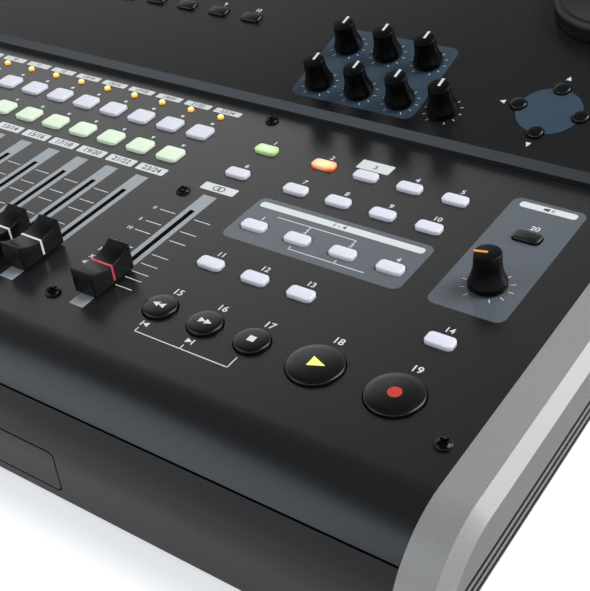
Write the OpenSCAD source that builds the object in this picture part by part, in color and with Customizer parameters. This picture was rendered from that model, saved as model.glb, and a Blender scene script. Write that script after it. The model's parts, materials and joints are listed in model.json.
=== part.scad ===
// Digital multitrack recorder on a desk: sloped fader panel with a rolled front edge, raised control
// deck behind it, silver side caps, disc tray in the front and sockets in the rear.
// Millimetres, +Z up, front towards -Y, origin on the floor under the middle of the case.

/* [Body] */
// Overall width over both side caps
body_w = 514.4; // [490:0.1:540]
// Overall depth from the front to the tips of the rear sockets
body_d = 340.1; // [330:0.1:370]
// Overall height at the rear edge of the deck
body_h = 104.3; // [98:0.1:112]
// Height of the rubber feet under the case
foot_h = 5; // [3:0.5:8]
// Diameter of a rubber foot
foot_dia = 22; // [14:1:30]
// Distance of a foot from the edges of the case
foot_in = 26; // [18:1:60]
// Height of the front, from the case bottom to the plane of the fader panel
front_h = 44; // [40:0.5:50]
// Radius of the rolled front edge
nose_r = 30; // [24:0.5:34]
// Angle down the rolled edge at which the panel meets the case
seam_angle = 47.5; // [40:0.5:60]
// Gap of the seam along the rolled edge
seam_gap = 0.7; // [0.3:0.1:1.2]
// Slope of the fader panel
panel_tilt = 2; // [0:0.5:4]
// Thickness of the fader panel and the deck
panel_t = 2; // [1.5:0.1:3]
// Wall thickness of the case
case_t = 2.5; // [2:0.1:4]
// Thickness of the rear panel
rear_t = 1.6; // [1:0.1:3]

/* [Side caps] */
// Width of a side cap
cap_w = 15.4; // [12:0.1:20]
// Bevel along the upper outer edge of a cap
cap_bevel = 4; // [2:0.1:6]
// Height of the smooth outer face below the bevel
cap_face_h = 12.5; // [8:0.1:18]
// Height of the grooved band below the smooth face
cap_rib_h = 11.2; // [9:0.1:16]
// Number of grooves in the band
groove_count = 3; // [1:1:4]
// Height of one groove
groove_h = 1.7; // [1:0.1:2]
// Depth of the grooves
groove_depth = 1.6; // [0.8:0.1:3]

/* [Deck] */
// Step of the fader panel's rear edge from the lamp row to the riser
riser_step = 13; // [9:0.5:20]
// Shadow gap under the front lip of the deck
lip_gap = 2; // [1:0.1:3]
// Run and rise of the chamfered lip
lip_run = 2.6; // [2:0.1:4]
// Set-back of the deck's foot behind its lip
foot_set = 1.5; // [1:0.1:3]

/* [Fader panel rows] */
// From the front of the case up to the transport keys
transport_y = 54.2; // [50:0.1:60]
// From the transport keys to the punch keys
punch_step = 28; // [24:0.1:34]
// From the punch keys to the locate keys
locate_step = 26.2; // [20:0.1:32]
// From the locate keys to the select keys
select_step = 27.2; // [22:0.1:34]
// From the select keys to the record-arm keys
arm_step = 19.8; // [15:0.1:26]
// From the record-arm keys to the track lamps
lamp_step = 14.3; // [9:0.1:20]
// From the transport keys up to the monitor knob
monitor_step = 60.5; // [56:0.1:66]
// From the monitor knob up to the monitor key
monitor_key_step = 30.4; // [24:0.1:36]

/* [Fader panel columns] */
// Right panel edge to the record key, the monitor key and the monitor knob
record_in = 28.6; // [26:0.1:34]
// Right panel edge to the play key
play_in = 57; // [52:0.1:64]
// Right panel edge to the first column of function keys
key_in = 120.1; // [116:0.1:126]
// Pitch of the function key columns
key_pitch = 19.33; // [16:0.01:22]
// Right panel edge to the master fader
master_in = 148; // [144:0.1:156]
// Right panel edge to the last channel fader
control_w = 182.7; // [178:0.1:190]
// Left panel edge to the first channel fader
channel_in = 20.4; // [16:0.1:26]

/* [Faders] */
// Travel of every fader
fader_travel = 45; // [30:1:48]
// Resting fader position above the transport row
fader_rest = 3.1; // [2:0.1:8]
// Width, length and height of a fader cap
fader_cap = [9.6, 20.4, 10]; // [6:0.1:30]
// Depth of the finger dip in a fader cap
fader_dip = 2.8; // [1:0.1:4]
// Flat rim at each end of the finger dip
fader_rim = 0.7; // [0.4:0.1:2]
// Gap between a fader cap and the panel
fader_gap = 0.8; // [0.4:0.1:2]
// Lever blade of a fader, thickness and length along the travel
fader_lever = [1.2, 4]; // [0.8:0.1:6]
// Clear gap on each side of the lever
slot_gap = 0.5; // [0.3:0.1:0.8]
// Free slot beyond the lever at each end of its travel
slot_end = 2.5; // [1:0.1:4]
// Width and height of a slide control's housing
fader_house = [9, 7.5]; // [6:0.1:12]

/* [Keys] */
// Width and depth of a function key
function_key = [10, 5.6]; // [4:0.1:12]
// Width and depth of a channel key
channel_key = [10.2, 9.2]; // [4:0.1:12]
// Corner radius of the keys
key_r = 1.7; // [1:0.1:2.2]
// Height of the keys above the panel
key_h = 1.3; // [1:0.1:3]
// Diameter of the play and record keys
big_key_dia = 19; // [15:0.1:21]
// Diameter of the rewind, forward and stop keys
small_key_dia = 12.3; // [9:0.1:14]
// Height of the transport keys above the panel
transport_h = 1.7; // [1:0.1:3]
// Diameter of the cursor keys
cursor_dia = 6.4; // [5:0.1:8]
// Travel of every key
key_travel = 0.8; // [0.4:0.1:1]
// Gap round a key in its hole
key_gap = 0.4; // [0.3:0.05:0.6]
// Reach of the retaining flange under the panel
key_flange = 0.9; // [0.6:0.1:1.2]

/* [Knobs] */
// Base diameter, top diameter and height of the monitor knob
monitor_knob_size = [14.4, 9.8, 14.6]; // [6:0.1:20]
// Base diameter, top diameter and height of the deck knobs
deck_knob_size = [12.6, 9, 13]; // [6:0.1:20]
// Diameter and height of the jog wheel
jog_size = [50, 9]; // [6:0.5:56]
// Diameter of every knob's shaft
shaft_dia = 5.4; // [4:0.1:6]
// Gap between a knob and the panel
knob_gap = 0.7; // [0.4:0.1:1]
// Height of the straight skirt at the foot of a knob
knob_skirt = 2.2; // [1:0.1:3]
// Width and depth of the pointer groove in a knob's top
pointer = [1, 0.5]; // [0.3:0.1:2]
// Where the monitor knob points, from straight up the panel towards the left
monitor_turn = 105; // [0:1:150]
// Diameter of the ball that dishes the jog wheel's finger dimple
jog_dimple = 15; // [10:0.5:18]

/* [Deck layout] */
// Right panel edge to the cursor keys and the jog wheel
cursor_in = 51.2; // [46:0.1:58]
// Deck lip up to the centre of the cursor keys
cursor_y = 27.6; // [24:0.1:32]
// Radius of the ring of cursor keys
cursor_ring = 12.9; // [10:0.1:14]
// Rear deck edge down to the centre of the jog wheel
jog_down = 64; // [58:0.5:70]
// Right panel edge to the phones knob
phones_in = 91.4; // [88:0.1:96]
// Deck lip up to the lower row of knobs
knob_row_y = 15.5; // [12:0.1:20]
// Pitch of the track knobs, across and up the deck
knob_pitch = [19.8, 25]; // [16:0.1:30]
// Rear deck edge down to the row of trim knobs
trim_down = 50; // [49.5:0.5:54]
// Pitch of the trim knobs and the input keys below them
trim_pitch = 19.5; // [16:0.1:20]
// Left panel edge to the first trim knob
trim_in = 24; // [20:0.5:30]
// From a trim knob down to its input key
input_step = 24; // [20:0.5:28]
// Width and height of the display window
window_size = [96, 54]; // [40:0.5:100]
// Left panel edge to the centre of the display
window_in = 237; // [234:0.5:242]
// Rear deck edge down to the centre of the display
window_down = 46; // [44:0.5:50]
// From the lower edge of the display to the soft keys
soft_step = 15; // [12:0.5:18]

/* [Boards] */
// Depth of the control boards below the panels
board_drop = 12; // [11:0.5:14]
// Thickness of the boards
board_t = 1.6; // [1:0.1:2]
// Width and height of a key switch
switch_size = [6, 3.5]; // [3:0.1:6.5]
// Diameter of a key's stem
stem_dia = 3; // [2:0.1:3.4]
// Gap of a key's stem in its switch
stem_gap = 0.35; // [0.3:0.05:0.5]
// Width of a rotary control's housing
pot_w = 12; // [10:0.5:14]
// Diameter of a track lamp
lamp_dia = 2.8; // [2:0.1:4]
// Width and height of the display module
module_size = [106, 64]; // [60:0.5:110]
// Thickness of the display module
module_t = 7; // [5:0.5:8]

/* [Disc drive] */
// Width, depth and height of the disc drive
drive_size = [130, 127, 13]; // [10:0.5:140]
// Left panel edge to the middle of the disc drive
drive_in = 292; // [280:1:320]
// Width and height of the tray's front
tray_front = [132, 16]; // [10:0.5:140]
// Height of the tray's front above the case bottom
tray_z = 4; // [3:0.5:6]
// Gap round the tray
tray_gap = 0.6; // [0.4:0.1:0.8]
// Disc recess diameter
disc_dia = 121; // [80:1:122]
// How far the tray slides out
tray_travel = 110; // [60:1:115]

/* [Rear sockets] */
// How far the sockets stand out behind the rear panel
socket_proud = 3; // [2:0.1:5]
// Bore of a jack socket
jack_bore = 6.6; // [6.3:0.1:7]
// Depth of a jack socket's bore
jack_depth = 24; // [15:0.5:28]
// Pitch of the combination sockets
combo_pitch = 33; // [29:0.5:34]
// Left panel edge to the first combination socket
combo_in = 28; // [24:0.5:34]
// Width and height of a combination socket's flange
combo_flange = [26, 31]; // [24:0.5:34]
// Height of the combination sockets above the case bottom
combo_z = 52; // [48:0.5:56]
// Pitch of the line sockets, across and up
line_pitch = [24, 30]; // [20:0.5:34]
// Left panel edge to the first line socket
line_in = 302; // [298:0.5:310]
// Height of the lower line sockets above the case bottom
line_z = 30; // [26:0.5:34]

/* [Fasteners] */
// Thread diameter of the screws
screw_dia = 3; // [2:0.1:3.4]
// Head diameter of the screws
screw_head = 5.8; // [4.5:0.1:7]
// Head height of the screws
screw_head_h = 1.7; // [1:0.1:2.5]
// Length of the screws below the head
screw_l = 8; // [6:0.5:9]
// Diameter of a board spacer
spacer_dia = 6; // [5:0.1:7]
// Right panel edge to the corner screws
screw_in = 6.4; // [5:0.1:9]
// Right panel edge to the row of screws beside the master fader
screw_row_in = 160.3; // [158:0.1:162]
// Screws: before the transport row, past the faders' upper end, past the lamp row
screw_steps = [10.8, 13.8, 6.7]; // [5:0.1:15]

/* [Hidden] */
$fn = 48;
channels = 18;
trims = 8;
tracks = 6;
bank = 4;
fit = 0.15;
eps = 0.01;
far = 900;

// Frames: the fader panel starts at the front of the case, the deck at the top of its lip
panel_w = body_w - 2 * cap_w;
right_x = panel_w / 2;
left_x = -panel_w / 2;
front_y = -body_d / 2;
rear_y = body_d / 2 - socket_proud;
rear_in = rear_y - rear_t;
panel_z = foot_h + front_h;
floor_top = foot_h + case_t;
nose_tangent = nose_r * tan((90 - panel_tilt) / 2);
punch_y = transport_y + punch_step;
locate_y = punch_y + locate_step;
select_y = locate_y + select_step;
arm_y = select_y + arm_step;
lamp_y = arm_y + lamp_step;
riser_y = lamp_y + riser_step;
panel_end = riser_y + foot_set + 1.5 * panel_t;
function panel_point(y, n) = [front_y + y * cos(panel_tilt) - n * sin(panel_tilt),
  panel_z + y * sin(panel_tilt) + n * cos(panel_tilt)];
nose_centre = panel_point(nose_tangent, -nose_r);
nose_inside = nose_centre + nose_r / 3 * [-1, 1];
deck_org = panel_point(riser_y + lip_run, lip_gap + lip_run);
deck_tilt = atan2(body_h - deck_org[1], rear_y - deck_org[0]);
deck_l = (rear_y - deck_org[0]) / cos(deck_tilt);
function deck_point(y, n) = [deck_org[0] + y * cos(deck_tilt) - n * sin(deck_tilt),
  deck_org[1] + y * sin(deck_tilt) + n * cos(deck_tilt)];
deck_sheet = panel_t / cos(deck_tilt);
rear_top = body_h - deck_sheet;
rear_top_in = rear_top - rear_t * tan(deck_tilt);
cap_drop = cap_bevel + cap_face_h + cap_rib_h;

// Places on the fader panel
record_x = right_x - record_in;
master_x = right_x - master_in;
fader_pitch = (panel_w - channel_in - control_w) / (channels - 1);
function channel_x(i) = left_x + channel_in + i * fader_pitch;
function key_x(i) = right_x - key_in + i * key_pitch;
fader_y = transport_y + fader_rest;
slot_w = fader_lever[0] + 2 * slot_gap;
slot_l = fader_travel + fader_lever[1] + 2 * slot_end;
slot_y = fader_y - fader_lever[1] / 2 - slot_end;
fader_columns = concat([for (i = [0 : channels - 1]) channel_x(i)], [master_x]);
select_at = [for (i = [0 : channels - 1]) [channel_x(i), select_y]];
arm_at = [for (i = [0 : channels - 1]) [channel_x(i), arm_y]];
lamps_at = [for (i = [0 : channels - 1]) [channel_x(i), lamp_y]];
function_at = concat([for (y = [select_y, arm_y]) [master_x, y]],
  [for (y = [locate_y, select_y, arm_y], i = [0 : 3]) [key_x(i), y]],
  [for (i = [0 : 2]) [key_x(i), punch_y]], [[record_x, punch_y]]);
transport_at = [for (x = [key_x(0), key_x(1), key_x(2), right_x - play_in, record_x]) [x, transport_y]];
monitor_at = [record_x, transport_y + monitor_step];
monitor_key_at = monitor_at + [0, monitor_key_step];
corner_x = right_x - screw_in;
screw_row_x = right_x - screw_row_in;
screw_front_y = transport_y - screw_steps[0];
screw_rear_y = lamp_y + screw_steps[2];
panel_screws_at = concat([[screw_row_x, fader_y + fader_travel + screw_steps[1]]],
  [for (x = [-corner_x, screw_row_x, corner_x], y = [screw_front_y, screw_rear_y]) [x, y]]);

// Places on the deck
cursor_x = right_x - cursor_in;
jog_at = [cursor_x,
  max(deck_l - jog_down, cursor_y + cursor_ring + cursor_dia / 2 + 2 * key_flange + jog_size[0] / 2)];
phones_at = [right_x - phones_in, knob_row_y];
trim_y = deck_l - trim_down;
function trim_at(i) = [left_x + trim_in + i * trim_pitch, trim_y];
function track_at(i) =
  phones_at + [-(1 + i % 3) * knob_pitch[0], floor(i / 3) * knob_pitch[1]];
cursor_at = [for (a = [0 : 90 : 270]) [cursor_x, cursor_y] + cursor_ring * [cos(a), sin(a)]];
window_at = [left_x + window_in, deck_l - window_down];
soft_y = window_at[1] - window_size[1] / 2 - soft_step;
menu_x = max(track_at(2)[0], window_at[0] + (module_size[0] + function_key[0]) / 2 + 2 * key_flange);
deck_keys_at = concat(
  [for (i = [-2 : 2], j = [0, 1]) [window_at[0] + i * key_pitch, soft_y - j * input_step]],
  [for (i = [0 : trims - 1], j = [1, 2]) trim_at(i) - [0, j * input_step]],
  [for (i = [0 : 2], j = [0, 1]) [menu_x + (2 - i) * knob_pitch[0], window_at[1] + (j - 0.5) * input_step]]);
deck_lamps_at = [for (i = [0 : trims - 1]) trim_at(i) + [0, lamp_step]];
deck_screws_at = [for (x = [-corner_x, corner_x], y = [1.5 * screw_in, deck_l - 1.8 * screw_in]) [x, y]];
deck_knobs_at = concat([jog_at, phones_at], [for (i = [0 : trims - 1]) trim_at(i)],
  [for (i = [0 : tracks - 1]) track_at(i)]);

// Heights inside, measured from the top face of a panel
board_top = -board_drop;
under = -panel_t - 1;
flange_t = 1;
flange_top = -panel_t - 0.15;
flange_low = flange_top - flange_t;
switch_top = board_top + switch_size[1];
stem_rest = switch_top - 0.8;
stem_bore_end = stem_rest - key_travel - 0.4;
pot_floor = board_top + 0.8;
pot_top = board_top + 4.5;
shaft_end = pot_floor + 0.4;
shaft_gap = 0.3;
bush_wall = 1.5;
bush_top = -panel_t - 0.2;
track_top = board_top + fader_house[1];
track_slot_end = track_top - 6;
lever_end = track_top - 4.5;
track_end = 6;
lamp_rise = 0.3;
lamp_gap = 0.2;

// Boards inside
board_in = case_t + 1;
deck_board_in = rear_t + 2 + (board_drop + board_t) * tan(deck_tilt);
main_board_in = [14, 37];
main_board_size = [176, 180];
main_board_lift = 5;
main_board_x = [left_x + main_board_in[0], left_x + main_board_in[0] + main_board_size[0]];
main_board_y = [rear_y - main_board_in[1] - main_board_size[1], rear_y - main_board_in[1]];
main_board_z = floor_top + main_board_lift;
main_board_edge = 6;
chip = [24, 24, 3];
chip_step = [50, 30];

// The drive with its tray
drive_x = left_x + drive_in;
drive_y = front_y + case_t + 0.5;
drive_z = foot_h + tray_z + (tray_front[1] - drive_size[2]) / 2;
drive_wall = 1;
rail = [8, 107];
rail_in = 6;
tray_low = drive_z + drive_wall + 0.5;
tray_l = disc_dia + 2;
tray_t = 6;
tray_floor = 4;
tray_r = 2;
hub = [15, 1.5];

// Rear sockets
combo_dia = 24;
combo_l = 30;
combo_flange_t = 2;
combo_groove = [18.4, 15];
combo_groove_l = 10;
pin_ring = 5.4;
pin_dia = 2.4;
function combo_at(i) = [left_x + combo_in + i * combo_pitch, foot_h + combo_z];
lines_at = [for (j = [0, 1], i = [0 : 3])
  [left_x + line_in + i * line_pitch[0], foot_h + line_z + j * line_pitch[1]]];
jack_body = 14;
jack_bush = 9.6;
jack_nut = 12.6;
jack_end = 4;
power_at = [right_x - 24, foot_h + line_z];
power_dia = 9;
power_travel = 2.2;
power_bore_l = 14;
dc_at = power_at - [28, 0];
dc_bore = [6.4, 12];
dc_pin = 2;
usb_at = power_at + [-16, line_pitch[1]];
usb_size = [12, 11, 18];
usb_bore = [8.6, 7.8, 12];
hole_gap = 0.2;
rear_screws_at = [for (i = [-2 : 2]) [i * (right_x - 12) / 2, floor_top + 4.5]];
boss = [9, 10, 9];

// Feet and vents in the case bottom
foot_peg = 6;
feet_at = [for (x = [left_x + foot_in, right_x - foot_in], y = [front_y + foot_in, rear_y - foot_in]) [x, y]];
vents = 12;
vent = [3, 50];
vent_pitch = 10;
vent_in = [60, 107];
vent_at = [left_x + vent_in[0], rear_y - vent_in[1]];

// Colours
charcoal = [0.16, 0.16, 0.17];
silver = [0.62, 0.63, 0.62];
black = [0.05, 0.05, 0.055];
white_key = [0.88, 0.89, 0.93];
board_green = [0.1, 0.3, 0.2];
steel = [0.6, 0.6, 0.62];
amber = [1, 0.7, 0.25];
smoke = [0.1, 0.16, 0.2, 0.6];

// Shapes shared by several pieces
module on_panel(at = [0, 0])
  translate([0, front_y, panel_z]) rotate([panel_tilt, 0, 0]) translate([at[0], at[1], 0]) children();

module on_deck(at = [0, 0])
  translate([0, deck_org[0], deck_org[1]]) rotate([deck_tilt, 0, 0]) translate([at[0], at[1], 0]) children();

// Extrudes a side view drawn as (y, z) to both sides of x = 0
module across(w) rotate([90, 0, 90]) linear_extrude(w, center = true) children();

// Places a shape on the outside of the rear panel, looking forwards along its z
module on_rear(at) translate([at[0], rear_y, at[1]]) rotate([90, 0, 0]) children();

module slab(w, d, r, low, high)
  translate([0, 0, low]) linear_extrude(high - low) {
    square([w, d - 2 * r], center = true);
    square([w - 2 * r, d], center = true);
    for (x = [-1, 1], y = [-1, 1]) translate([x * (w / 2 - r), y * (d / 2 - r)]) circle(r);
  }

module rod(dia, low, high) translate([0, 0, low]) cylinder(d = dia, h = high - low);

module block(w, d, low, high) translate([-w / 2, -d / 2, low]) cube([w, d, high - low]);

// A sector of the rolled front edge in side view. Polygons that join it run counterclockwise like it.
module nose_sector(r, from, to)
  translate(nose_centre) intersection() {
    circle(r, $fn = 120);
    polygon(concat([[0, 0]],
      [for (k = [0 : 3]) let (a = 90 + panel_tilt + from + (to - from) * k / 3) 2 * r * [cos(a), sin(a)]]));
  }

module nose_shell(thick, from, to) difference() {
  nose_sector(nose_r, from, to);
  translate(nose_centre) circle(nose_r - thick, $fn = 120);
}

// Short overlap inside the wall, where a flat run joins the rolled edge
module joint(at, angle, thick) translate(at) rotate(angle) square([1, thick / 2], center = true);

// Keys: a cap through the panel, a flange that holds it and a stem into its switch
module key_stem() rod(stem_dia, stem_rest, flange_low + eps);

module flat_key(size) {
  slab(size[0], size[1], key_r, flange_top - eps, key_h);
  block(size[0] + 2 * key_flange, size[1] + 2 * key_flange, flange_low, flange_top);
  key_stem();
}

module round_key(dia, high) {
  rod(dia, flange_top - eps, high);
  rod(dia + 2 * key_flange, flange_low, flange_top);
  key_stem();
}

module flat_key_hole(size) slab(size[0] + 2 * key_gap, size[1] + 2 * key_gap, key_r + key_gap, under, 1);

module round_hole(dia, gap) rod(dia + 2 * gap, under, 1);

module key_switch() difference() {
  block(switch_size[0], switch_size[0], board_top, switch_top);
  rod(stem_dia + 2 * stem_gap, stem_bore_end, switch_top + 1);
}

// Knobs: a flared cap with a pointer groove, on a shaft that runs in its rotary control
module shaft() rod(shaft_dia, shaft_end, knob_gap + eps);

module knob(size, angle) difference() {
  union() {
    rotate_extrude() polygon([[0, knob_gap], [size[0] / 2, knob_gap], [size[0] / 2, knob_gap + knob_skirt],
      [size[1] / 2 + (size[0] - size[1]) / 5, size[2] * 0.42], [size[1] / 2, size[2]], [0, size[2]]]);
    shaft();
  }
  rotate(angle) translate([-pointer[0] / 2, 0, size[2] - pointer[1]]) cube([pointer[0], size[0], 1]);
}

module jog() difference() {
  union() {
    rod(jog_size[0], knob_gap, jog_size[1]);
    shaft();
  }
  translate([0, jog_size[0] * 0.29, jog_size[1] + jog_dimple * 0.4]) sphere(d = jog_dimple);
}

module pot_house() difference() {
  union() {
    block(pot_w, pot_w, board_top, pot_top);
    rod(shaft_dia + 2 * bush_wall, pot_top - eps, bush_top);
  }
  rod(shaft_dia + 2 * shaft_gap, pot_floor, 1);
}

// Faders: a dished cap on a lever blade that runs in a slotted housing
module fader() {
  reach = fader_cap[1] / 2 - fader_rim;
  dip_r = (reach * reach + fader_dip * fader_dip) / (2 * fader_dip);
  top = fader_gap + fader_cap[2];
  difference() {
    block(fader_cap[0], fader_cap[1], fader_gap, top);
    translate([0, 0, top - fader_dip + dip_r]) rotate([0, 90, 0])
      cylinder(r = dip_r, h = fader_cap[0] + 2, center = true, $fn = 96);
  }
  block(fader_lever[0], fader_lever[1], lever_end, fader_gap + eps);
}

module fader_slot(low, high) translate([-slot_w / 2, slot_y, low]) cube([slot_w, slot_l, high - low]);

module fader_track() difference() {
  translate([-fader_house[0] / 2, slot_y - track_end, board_top])
    cube([fader_house[0], slot_l + 2 * track_end, fader_house[1]]);
  fader_slot(track_slot_end, 1);
}

module screw() difference() {
  union() {
    rod(screw_head, 0, screw_head_h);
    rod(screw_dia, -screw_l, eps);
  }
  for (a = [0, 90]) rotate(a)
    block(screw_head * 0.62, screw_head * 0.16, screw_head_h * 0.35, screw_head_h + 1);
}

// Shells of the body
module case_front() {
  nose_shell(case_t, seam_angle + seam_gap * 180 / PI / nose_r, 90 - panel_tilt);
  translate([front_y, foot_h]) square([case_t, nose_centre[1] - foot_h]);
  joint([front_y + case_t / 2, nose_centre[1]], 90, case_t);
}

module case_side() {
  nose_sector(nose_r - panel_t - 2 * fit, 0, 90 - panel_tilt);
  polygon([[front_y + case_t / 2, nose_centre[1]], [front_y + case_t / 2, foot_h], [rear_in, foot_h],
    [rear_in, rear_top_in], deck_point(3 * panel_t, -panel_t), panel_point(panel_end + 1, -panel_t),
    panel_point(nose_tangent, -panel_t), nose_inside]);
}

module tray_outline(grow)
  translate([drive_x, front_y, foot_h + tray_z + tray_front[1] / 2]) rotate([90, 0, 0])
    slab(tray_front[0] + 2 * grow, tray_front[1] + 2 * grow, tray_r + grow, -4 * case_t, case_t);

module bottom_case() color(charcoal) difference() {
  union() {
    translate([left_x, front_y, foot_h]) cube([panel_w, rear_in - front_y, case_t]);
    across(panel_w) case_front();
    for (s = [-1, 1]) translate([s * (right_x - case_t / 2), 0, 0]) across(case_t) case_side();
    for (x = [-1, 1]) translate([drive_x + x * drive_size[0] / 3, drive_y + rail_in, floor_top - eps])
      cube([rail[0], rail[1], drive_z - floor_top + eps]);
    for (p = rear_screws_at) translate([p[0], rear_in - boss[1] / 2, 0])
      block(boss[0], boss[1], floor_top - eps, floor_top + boss[2]);
    for (x = main_board_x, y = main_board_y) translate([x, y, 0])
      rod(spacer_dia, floor_top - eps, main_board_z);
  }
  tray_outline(tray_gap);
  for (p = feet_at) translate([p[0], p[1], 0]) rod(foot_peg + 2 * hole_gap, foot_h - 1, floor_top + 1);
  for (p = rear_screws_at) on_rear(p) rod(screw_dia + 2 * fit, -1, screw_l + 2);
  for (i = [0 : vents - 1]) translate([vent_at[0] + i * vent_pitch, vent_at[1], foot_h - 1])
    cube([vent[0], vent[1], case_t + 2]);
}

module panel_cuts() {
  for (x = fader_columns) translate([x, 0, 0]) fader_slot(under, 1);
  for (p = concat(select_at, arm_at)) translate(p) flat_key_hole(channel_key);
  for (p = concat(function_at, [monitor_key_at])) translate(p) flat_key_hole(function_key);
  for (i = [0 : 4]) translate(transport_at[i]) round_hole(transport_dia(i), key_gap);
  for (p = lamps_at) translate(p) round_hole(lamp_dia, lamp_gap);
  for (p = panel_screws_at) translate(p) round_hole(screw_dia, shaft_gap);
  translate(monitor_at) round_hole(shaft_dia, knob_gap);
}

module main_panel() color(charcoal) difference() {
  across(panel_w - 2 * fit) {
    nose_shell(panel_t, 0, seam_angle);
    joint(panel_point(nose_tangent, -panel_t / 2), panel_tilt, panel_t);
    polygon([panel_point(nose_tangent, -panel_t), panel_point(panel_end, -panel_t), panel_point(panel_end, 0),
      panel_point(nose_tangent, 0)]);
  }
  on_panel() panel_cuts();
}

module deck_cuts() {
  translate(window_at) block(window_size[0], window_size[1], under, 1);
  for (p = deck_keys_at) translate(p) flat_key_hole(function_key);
  for (p = cursor_at) translate(p) round_hole(cursor_dia, key_gap);
  for (p = deck_lamps_at) translate(p) round_hole(lamp_dia, lamp_gap);
  for (p = deck_screws_at) translate(p) round_hole(screw_dia, shaft_gap);
  for (p = deck_knobs_at) translate(p) round_hole(shaft_dia, knob_gap);
}

module deck_panel() color(charcoal) difference() {
  across(panel_w - 2 * fit)
    polygon([panel_point(riser_y + foot_set, 0), panel_point(riser_y + foot_set, lip_gap),
      panel_point(riser_y, lip_gap), deck_org, [rear_y, body_h], [rear_y, rear_top],
      deck_point(1.5 * panel_t, -panel_t), panel_point(riser_y + foot_set + panel_t, 0)]);
  on_deck() deck_cuts();
}

// Section of the side cap's front part, out from the nose's axis, with the bevel at its outer edge
module cap_section()
  polygon([[0, 0], [nose_r, 0], [nose_r, cap_w - cap_bevel], [nose_r - cap_bevel, cap_w], [0, cap_w]]);

module cap_front()
  translate([right_x, nose_centre[0], nose_centre[1]]) rotate([90, 0, 90]) rotate(90 + panel_tilt) {
    rotate_extrude(angle = 90 - panel_tilt, $fn = 120) cap_section();
    rotate([90, 0, 0]) linear_extrude(riser_y - nose_tangent + 1) cap_section();
  }

module cap_rear() difference() {
  translate([right_x + cap_w / 2, 0, 0]) across(cap_w)
    polygon([panel_point(riser_y, -nose_r), [rear_y, nose_centre[1]], [rear_y, body_h], deck_org,
      panel_point(riser_y, lip_gap)]);
  on_deck() translate([body_w / 2, -3 * cap_bevel, 0]) rotate([-90, 0, 0])
    linear_extrude(deck_l + 4 * cap_bevel) polygon([[1, -1], [1, cap_bevel + 1], [-cap_bevel - 1, -1]]);
}

module side_cap() color(silver) difference() {
  union() {
    cap_front();
    cap_rear();
  }
  on_panel() translate([0, -far / 2, -cap_drop - far]) cube(far);
  for (i = [0 : groove_count - 1]) on_panel([body_w / 2, 0])
    translate([-groove_depth, -far / 2, (i + 0.5) * cap_rib_h / groove_count - groove_h / 2 - cap_drop])
      cube([far, far, groove_h]);
}

module left_side_cap() mirror([1, 0, 0]) side_cap();

module right_side_cap() side_cap();

module rear_panel() color(black) difference() {
  across(panel_w)
    polygon([[rear_in, foot_h], [rear_y, foot_h], [rear_y, rear_top], [rear_in, rear_top_in]]);
  for (i = [0 : trims - 1]) on_rear(combo_at(i)) rod(combo_dia + 2 * hole_gap, -1, rear_t + 1);
  for (p = concat(lines_at, [dc_at])) on_rear(p) rod(jack_bush + 2 * hole_gap, -1, rear_t + 1);
  for (p = rear_screws_at) on_rear(p) rod(screw_dia + 2 * shaft_gap, -1, rear_t + 1);
  on_rear(power_at) rod(power_dia + 2 * tray_gap, -1, rear_t + 1);
  on_rear(usb_at) block(usb_size[0] + 2 * hole_gap, usb_size[1] + 2 * hole_gap, -1, rear_t + 1);
}

module rubber_feet() color(black) for (p = feet_at) translate([p[0], p[1], 0]) {
  rod(foot_dia, 0, foot_h);
  rod(foot_peg, foot_h - eps, floor_top + 1);
}

module panel_screws() color(black) {
  for (p = panel_screws_at) on_panel(p) screw();
  for (p = deck_screws_at) on_deck(p) screw();
  for (p = rear_screws_at) on_rear(p) mirror([0, 0, 1]) screw();
}

// Display
module display_window() color(smoke)
  on_deck(window_at) block(window_size[0] - 2 * fit, window_size[1] - 2 * fit, -panel_t, 0);

module display_module() color(black)
  on_deck(window_at) block(module_size[0], module_size[1], -panel_t - module_t, -panel_t);

// Boards with their spacers, and what sits on them
module control_board(from, to, screws) difference() {
  union() {
    translate([left_x + board_in, from, board_top - board_t])
      cube([panel_w - 2 * board_in, to - from, board_t]);
    for (p = screws) translate(p) rod(spacer_dia, board_top - eps, -panel_t);
  }
  for (p = screws) translate(p) rod(screw_dia + 2 * fit, board_top - board_t - 1, 1);
}

module fader_board() color(board_green)
  on_panel() control_board(nose_tangent, riser_y - 1, panel_screws_at);

module deck_board() color(board_green)
  on_deck() control_board(2 * panel_t, deck_l - deck_board_in, deck_screws_at);

module main_board() color(board_green) {
  translate([main_board_x[0] - main_board_edge, main_board_y[0] - main_board_edge, main_board_z])
    cube([main_board_x[1] - main_board_x[0] + 2 * main_board_edge,
      main_board_y[1] - main_board_y[0] + 2 * main_board_edge, board_t]);
  for (i = [0 : 2])
    translate([main_board_x[0] + (i + 0.5) * chip_step[0], main_board_y[0] + (i + 1.3) * chip_step[1],
      main_board_z + board_t - eps]) cube(chip);
}

module fader_tracks() color(steel) on_panel() for (x = fader_columns) translate([x, 0, 0]) fader_track();

module rotary_controls() color(steel) {
  on_panel(monitor_at) pot_house();
  for (p = deck_knobs_at) on_deck(p) pot_house();
}

module key_switches() color(black) {
  for (p = concat(select_at, arm_at, function_at, [monitor_key_at], transport_at)) on_panel(p) key_switch();
  for (p = concat(deck_keys_at, cursor_at)) on_deck(p) key_switch();
}

module lamp() {
  rod(lamp_dia, board_top, lamp_rise);
  translate([0, 0, lamp_rise]) intersection() {
    sphere(d = lamp_dia);
    rod(lamp_dia + 1, -eps, lamp_dia);
  }
}

module track_lamps() color(amber) {
  for (p = lamps_at) on_panel(p) lamp();
  for (p = deck_lamps_at) on_deck(p) lamp();
}

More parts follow.
